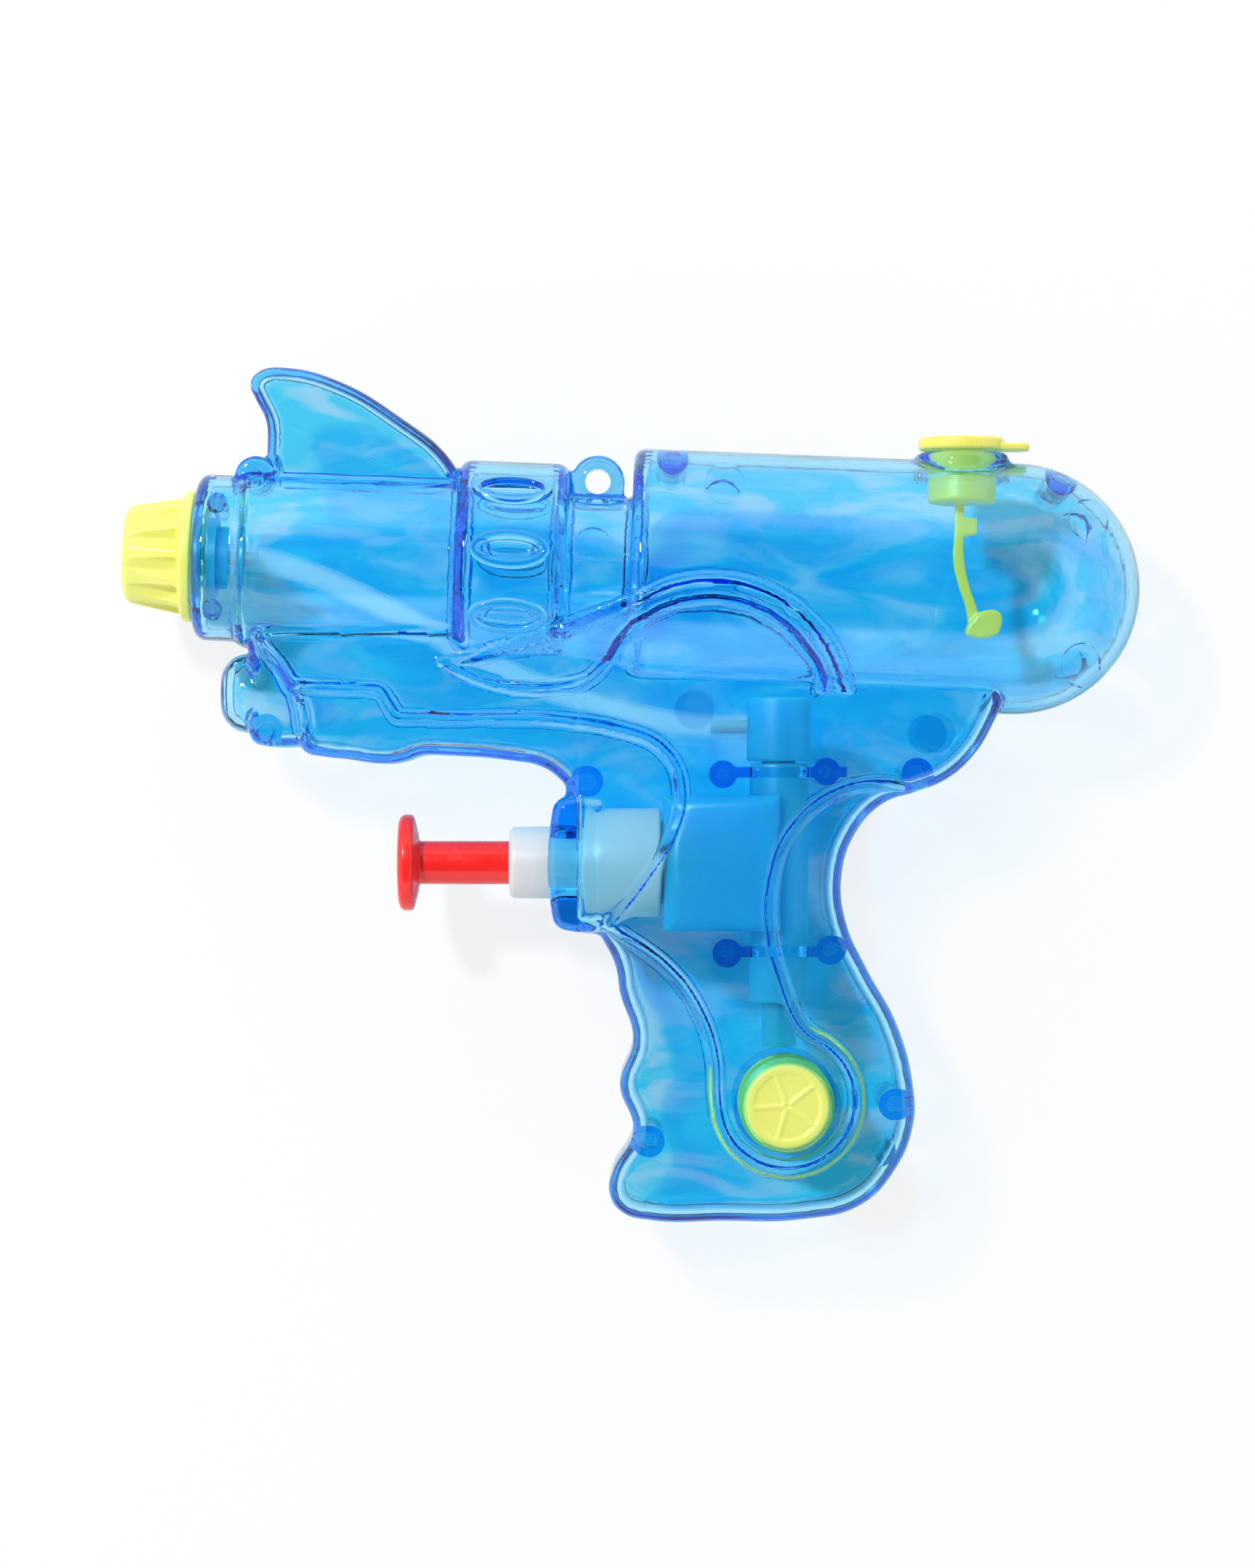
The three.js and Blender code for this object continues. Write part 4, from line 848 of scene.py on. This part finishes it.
# Balls turned from pole to pole, with flats at the poles that are too small to show.
def valve_balls():
    balls = repeated(turned(arc(0, 0, BALL_RADIUS, 178, 2, 32), 64), 2)
    for ball, y in zip(balls, (LOWER_BALL_HEIGHT, UPPER_BALL_HEIGHT)):
        ball.location = (TOWER_X, y, 0)
        settle(ball)
    return balls


def grip_spool():
    x, y = SPOOL
    spool = crosswise(x, y, -SPOOL_HALF, SPOOL_HALF, SPOOL_RADIUS, SPOOL_ROUND, SPOOL_SIDES)
    joined(spool, crosswise(
        x, y, -SPOOL_FLANGE_HALF, SPOOL_FLANGE_HALF, SPOOL_FLANGE_RADIUS, SPOOL_FLANGE_ROUND, SPOOL_SIDES,
    ))
    cut(spool, laid_across(square_ring(*SPOOL_WAIST), x, y))
    for face in (SPOOL_HALF, -SPOOL_HALF):
        cut(spool, crosswise(x, y, face - DISH_DEPTH, face + DISH_DEPTH, DISH_RADIUS, DISH_ROUND))
    start, end = SPOKE_REACH
    spoke = block((start, -SPOKE_WIDE, -SPOKE_HALF), (end, SPOKE_WIDE, SPOKE_HALF))
    spokes = repeated(spoke, SPOKES)
    for i, spoke in enumerate(spokes):
        spoke.rotation_euler = (0, 0, math.radians(SPOKE_TURN + 360 / SPOKES * i))
        spoke.location = (x, y, 0)
        settle(spoke)
    return fused([spool, *spokes], voxel=0.2, rounds=2)


# Turns an sRGB hex value to linear colour.
def colour(value):
    channels = [int(value[i:i + 2], 16) / 255 for i in (1, 3, 5)]
    return [c / 12.92 if c <= 0.04045 else ((c + 0.055) / 1.055) ** 2.4 for c in channels] + [1.0]


# Adds a node with its settings, and sets or links its inputs.
def node(tree, kind, inputs=None, **settings):
    made = tree.nodes.new("ShaderNode" + kind)
    for name, value in settings.items():
        setattr(made, name, value)
    for socket, value in (inputs or {}).items():
        if isinstance(value, bpy.types.NodeSocket):
            tree.links.new(value, made.inputs[socket])
        else:
            made.inputs[socket].default_value = value
    return made


def new_material(name):
    material = bpy.data.materials.new(name)
    material.use_nodes = True
    material.node_tree.nodes.clear()
    return material


# Widths of the patterns in the materials
RIPPLE = 14 * MM
CAUSTIC_PATCH = 9 * MM
CLOUD = 7 * MM
RUB = 2.5 * MM
GRAIN = 0.9 * MM
SCRATCH = 0.6 * MM
FIBRE = 3 * MM

PLASTIC_IOR = 1.5

# Height in the frame over which the shell changes from its lower half, which carries painted caustic light
# and shade and a painted shadow tint, to its upper half, which carries neither
PAINTED_CAUSTICS_BELOW = 16 * MM
UNPAINTED_ABOVE = 19 * MM


# Clear polystyrene, injection moulded and polished: hard gloss, a blue that deepens with every wall the light
# crosses, and soft flow ripples that bend what is seen through it. Lamp light and light on its way to a matt
# surface go straight through. In the lower half that light takes a painted deep-blue shadow tint with painted
# caustic light and shade, and the shell's own colour there is mottled with the same painted caustic shade.
def clear_polystyrene():
    material = new_material("clear_blue_polystyrene_moulded")
    tree = material.node_tree
    place = node(tree, "TexCoord").outputs["Object"]
    ripple = node(tree, "TexNoise", {"Vector": place, "Scale": 1 / RIPPLE, "Detail": 1.5})
    bump = node(tree, "Bump", {"Height": ripple.outputs[0], "Strength": 0.35, "Distance": 0.3 * MM})
    # Stretched noise that paints caustic light and shade into the lower half of the shell
    stretched_place = node(tree, "Mapping", {"Vector": place, "Scale": (0.45, 1, 1)})
    caustic_noise = node(tree, "TexNoise", {
        "Vector": stretched_place.outputs[0], "Scale": 1 / CAUSTIC_PATCH, "Detail": 3.0, "Distortion": 1.4,
    })
    mottle = node(tree, "MapRange", {0: caustic_noise.outputs[0], 1: 0.46, 2: 0.57})
    height = node(tree, "SeparateXYZ", {0: place}).outputs["Z"]
    upper = node(tree, "MapRange", {0: height, 1: PAINTED_CAUSTICS_BELOW, 2: UNPAINTED_ABOVE})
    painted_caustic_light = node(tree, "Math", {0: mottle.outputs[0], 1: upper.outputs[0]}, operation="MAXIMUM")
    # Shell's own pale blue tint, mottled darker in the lower half by painted caustic shade
    tint_and_painted_caustics = node(tree, "Mix", {
        0: painted_caustic_light.outputs[0], 6: colour("#59EBFE"), 7: colour("#EAF7FF"),
    }, data_type="RGBA")
    glass = node(tree, "BsdfPrincipled", {
        "Base Color": tint_and_painted_caustics.outputs[2], "Transmission Weight": 1.0, "IOR": PLASTIC_IOR, "Roughness": 0.03,
        "Normal": bump.outputs[0],
    })
    # Colour kept by lamp light and light on its way to a matt surface: in the lower half a painted deep-blue
    # shadow tint, mottled with painted caustic light and shade
    clear = node(tree, "Mix", {
        0: painted_caustic_light.outputs[0], 6: colour("#50E8FD"), 7: colour("#FFFFFF"),
    }, data_type="RGBA")
    through = node(tree, "BsdfTransparent", {"Color": clear.outputs[2]})
    path = node(tree, "LightPath")
    lit = node(tree, "Math", {
        0: path.outputs["Is Shadow Ray"], 1: path.outputs["Is Diffuse Ray"],
    }, operation="MAXIMUM")
    skin = node(tree, "MixShader", {0: lit.outputs[0], 1: glass.outputs[0], 2: through.outputs[0]})
    tint = node(tree, "VolumeAbsorption", {"Color": colour("#D4F7FF"), "Density": 600.0})
    node(tree, "OutputMaterial", {"Surface": skin.outputs[0], "Volume": tint.outputs[0]})
    return material


# Moulded plastic with a satin skin: an even colour with slight clouding from the melt, a gloss that varies
# a little where fingers have rubbed it, and the mould's grain, drawn coarser than it is so that it shows.
# Light goes through it by the share clear and spreads in it by scatter, over reach in millimetres. The
# share lets of the lamp's light passes on, and cover is how far the skin hides what lies behind it.
def moulded(name, dark, light, rough, clear=0.0, scatter=0.0, reach=1.0, lets=0.0, cover=1.0):
    material = new_material(name)
    tree = material.node_tree
    place = node(tree, "TexCoord").outputs["Object"]
    mottle = node(tree, "TexNoise", {"Vector": place, "Scale": 1 / CLOUD, "Detail": 3.0})
    tone = node(tree, "Mix", {0: mottle.outputs[0], 6: colour(dark), 7: colour(light)}, data_type="RGBA")
    rub = node(tree, "TexNoise", {"Vector": place, "Scale": 1 / RUB, "Detail": 4.0})
    gloss = node(tree, "MapRange", {0: rub.outputs[0], 1: 0.3, 2: 0.7, 3: rough - 0.06, 4: rough + 0.06})
    grain = node(tree, "TexNoise", {"Vector": place, "Scale": 1 / GRAIN, "Detail": 2.0})
    bump = node(tree, "Bump", {"Height": grain.outputs[0], "Strength": 0.2, "Distance": 0.012 * MM})
    skin = node(tree, "BsdfPrincipled", {
        "Base Color": tone.outputs[2], "Roughness": gloss.outputs[0], "IOR": PLASTIC_IOR,
        "Transmission Weight": clear, "Subsurface Weight": scatter,
        "Subsurface Radius": (reach, reach, reach), "Subsurface Scale": MM, "Alpha": cover,
        "Normal": bump.outputs[0],
    })
    through = node(tree, "BsdfTransparent")
    path = node(tree, "LightPath")
    lamp = node(tree, "Math", {0: path.outputs["Is Shadow Ray"], 1: lets}, operation="MULTIPLY")
    whole = node(tree, "MixShader", {0: lamp.outputs[0], 1: skin.outputs[0], 2: through.outputs[0]})
    node(tree, "OutputMaterial", {"Surface": whole.outputs[0]})
    return material


# Bright steel, ground and drawn: a cool grey mirror with fine scratches, made coarse enough to show.
def bright_steel():
    material = new_material("bright_steel_ground")
    tree = material.node_tree
    place = node(tree, "TexCoord").outputs["Object"]
    worn = node(tree, "TexNoise", {"Vector": place, "Scale": 1 / SCRATCH, "Detail": 4.0})
    tone = node(tree, "Mix", {
        0: worn.outputs[0], 6: colour("#B4B6B8"), 7: colour("#D6D8DA"),
    }, data_type="RGBA")
    gloss = node(tree, "MapRange", {0: worn.outputs[0], 1: 0.3, 2: 0.7, 3: 0.18, 4: 0.34})
    skin = node(tree, "BsdfPrincipled", {
        "Base Color": tone.outputs[2], "Metallic": 1.0, "Roughness": gloss.outputs[0],
    })
    node(tree, "OutputMaterial", {"Surface": skin.outputs[0]})
    return material


# White card, matt: the camera sees it close to white, and the toy's shadow on it stays.
def white_card():
    material = new_material("white_card_matt")
    tree = material.node_tree
    place = node(tree, "TexCoord").outputs["Object"]
    fibre = node(tree, "TexNoise", {"Vector": place, "Scale": 1 / FIBRE, "Detail": 3.0})
    tone = node(tree, "Mix", {
        0: fibre.outputs[0], 6: colour("#F6F6F6"), 7: colour("#FAFAFA"),
    }, data_type="RGBA")
    card = node(tree, "BsdfPrincipled", {"Base Color": tone.outputs[2], "Roughness": 0.9})
    glow = node(tree, "Emission", {"Color": colour("#FFFFFF"), "Strength": 1.0})
    path = node(tree, "LightPath")
    seen = node(tree, "Math", {0: path.outputs["Is Camera Ray"], 1: 0.8}, operation="MULTIPLY")
    behind = node(tree, "Math", {0: path.outputs["Is Transmission Ray"], 1: 0.015}, operation="MULTIPLY")
    share = node(tree, "Math", {0: seen.outputs[0], 1: behind.outputs[0]}, operation="MAXIMUM")
    skin = node(tree, "MixShader", {0: share.outputs[0], 1: card.outputs[0], 2: glow.outputs[0]})
    node(tree, "OutputMaterial", {"Surface": skin.outputs[0]})
    return material


# Scales a finished piece to metres, moves it into the frame, gives it its material in a slot and its body,
# and hides the CAD node that it stands in for.
def fitted(piece, name, material, body, cad_node):
    piece.name = name
    piece.data.name = name
    piece.scale = (MM, MM, MM)
    piece.location = SHIFT * MM
    settle(piece)
    bpy.ops.object.shade_smooth_by_angle(angle=SMOOTH_ANGLE)
    piece.data.materials.clear()
    piece.data.materials.append(material)
    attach(piece, body)
    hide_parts(cad_node)
    return piece


clear_blue = clear_polystyrene()

# Pale yellow polyethylene, moulded: waxy and bright, with soft shading
yellow = moulded("yellow_polyethylene_moulded", "#E8EA6C", "#F2F486", rough=0.32, scatter=0.25)

# Warmer yellow polyethylene, moulded: thin enough to glow inside the blue tank
plug_yellow = moulded(
    "warm_yellow_polyethylene_moulded", "#FFE85C", "#FFF078", rough=0.3, scatter=0.25, lets=0.3,
)

# Red polyethylene, moulded: full colour and a little glossier than the rest
red = moulded("red_polyethylene_moulded", "#F82224", "#FF302C", rough=0.24)

# Natural polyethylene, moulded without pigment: milky, with light inside
milky = moulded(
    "natural_polyethylene_moulded", "#DCDBDD", "#E5E4E6", rough=0.34, clear=0.05, scatter=0.3, reach=2.0,
    lets=0.4,
)

# Milky vinyl, extruded as a thin tube: a pale veil over what lies behind it
hose_skin = moulded("milky_vinyl_extruded", "#F0F2F6", "#FAFBFC", rough=0.25, lets=0.8, cover=0.16)

# Blue polyethylene, moulded: dense, with a glow from within
pump_blue = moulded(
    "blue_polyethylene_moulded", "#28C0F8", "#32C8FC", rough=0.34, clear=0.3, scatter=1.0, reach=5.0,
    lets=0.6,
)

# Seal rubber, pressed: near black and dull
rubber = moulded("seal_rubber_pressed", "#161616", "#242424", rough=0.6)

steel = bright_steel()

left, right = shell_halves()
fitted(left, "left_half_shell", clear_blue, "body", "shell_left")
fitted(right, "right_half_shell", clear_blue, "body", "shell_right")
fitted(nozzle_cap(), "fluted_nozzle_cap", yellow, "nozzle_cap", "nozzle_cap")
fitted(nozzle_core(), "nozzle_spigot", pump_blue, "body", "nozzle_core")
fitted(nozzle_gasket(), "nozzle_washer", rubber, "body", "nozzle_gasket")
fitted(delivery_hose(), "barrel_hose", hose_skin, "body", "delivery_hose")
fitted(filler_plug(), "tethered_filler_plug", plug_yellow, "filler_plug", "filler_plug")
fitted(trigger(), "push_trigger", red, "trigger", "trigger")
fitted(o_ring(*PISTON_RING), "piston_o_ring", rubber, "trigger", "piston_ring")
fitted(pump_gland(), "gland_tube", milky, "body", "pump_gland")
fitted(o_ring(*ROD_RING), "rod_o_ring", rubber, "body", "rod_seal")
spring = fitted(return_spring(), "coil_spring", steel, "body", "return_spring")
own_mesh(spring)
fitted(pump_body(), "pump_block", pump_blue, "body", "pump_body")
fitted(outlet_elbow(), "hose_elbow", pump_blue, "body", "outlet_elbow")
fitted(inlet_tube(), "suction_tube", pump_blue, "body", "inlet_tube")
lower_ball, upper_ball = valve_balls()
fitted(lower_ball, "lower_valve_ball", steel, "inlet_ball", "inlet_ball")
fitted(upper_ball, "upper_valve_ball", steel, "outlet_ball", "outlet_ball")
fitted(grip_spool(), "spoked_spool", yellow, "body", "grip_spool")

# Table, a little below the frame's floor, because the raised swoosh on the far side dips under it
TABLE_SIZE = 3
TABLE_DROP = 0.4 * MM
bpy.ops.object.select_all(action="DESELECT")
bpy.ops.mesh.primitive_plane_add(size=TABLE_SIZE, location=(0, 0, -TABLE_DROP))
table = bpy.context.object
table.name = "table"
table.data.materials.append(white_card())

# Soft white surroundings with a dark patch overhead, where the camera stands
SKY_STRENGTH = 1.2
PATCH_STRENGTH = 0.03
PATCH_EDGES = (0.6, 0.77)
world = bpy.data.worlds.new("studio")
bpy.context.scene.world = world
world.use_nodes = True
sky = world.node_tree
sky.nodes.clear()
look = node(sky, "TexCoord").outputs["Generated"]
height = node(sky, "SeparateXYZ", {0: look}).outputs["Z"]
shade = node(sky, "MapRange", {
    0: height, 1: PATCH_EDGES[0], 2: PATCH_EDGES[1], 3: SKY_STRENGTH, 4: PATCH_STRENGTH,
}, interpolation_type="SMOOTHSTEP")
soft = node(sky, "Background", {"Color": colour("#FFFFFF"), "Strength": shade.outputs[0]})
node(sky, "OutputWorld", {"Surface": soft.outputs[0]})

# Key lamp from the upper left, which throws the shadow to the lower right
KEY_PLACE = (-0.45, 0.45, 0.95)
KEY_AIM = Vector((0, 0, 0.02))
KEY_SIZE = 0.11
KEY_POWER = 7.8
bpy.ops.object.light_add(type="AREA", radius=1, location=KEY_PLACE)
key = bpy.context.object
key.name = "key_lamp"
key.data.shape = "DISK"
key.data.size = KEY_SIZE
key.data.energy = KEY_POWER
key.rotation_euler = (KEY_AIM - key.location).to_track_quat("-Z", "Y").to_euler()

# Camera straight above the toy. Half of the picture's long side spans VIEW_HALF at VIEW_RANGE from it.
VIEW_HALF = 0.12005
VIEW_RANGE = 0.7
bpy.ops.object.camera_add(location=(-0.0006, 0.00128, 0.71997), rotation=(0, 0, 0))
camera = bpy.context.object
camera.name = "overhead_camera"
camera.data.angle = 2 * math.atan(VIEW_HALF / VIEW_RANGE)
bpy.context.scene.camera = camera

# Light passes many clear walls before it reaches the eye.
WALLS_CROSSED = 24
scene = bpy.context.scene
scene.view_settings.view_transform = "Standard"
scene.cycles.caustics_refractive = False
scene.cycles.transparent_max_bounces = WALLS_CROSSED
scene.cycles.transmission_bounces = WALLS_CROSSED
scene.cycles.glossy_bounces = 16
scene.cycles.max_bounces = WALLS_CROSSED
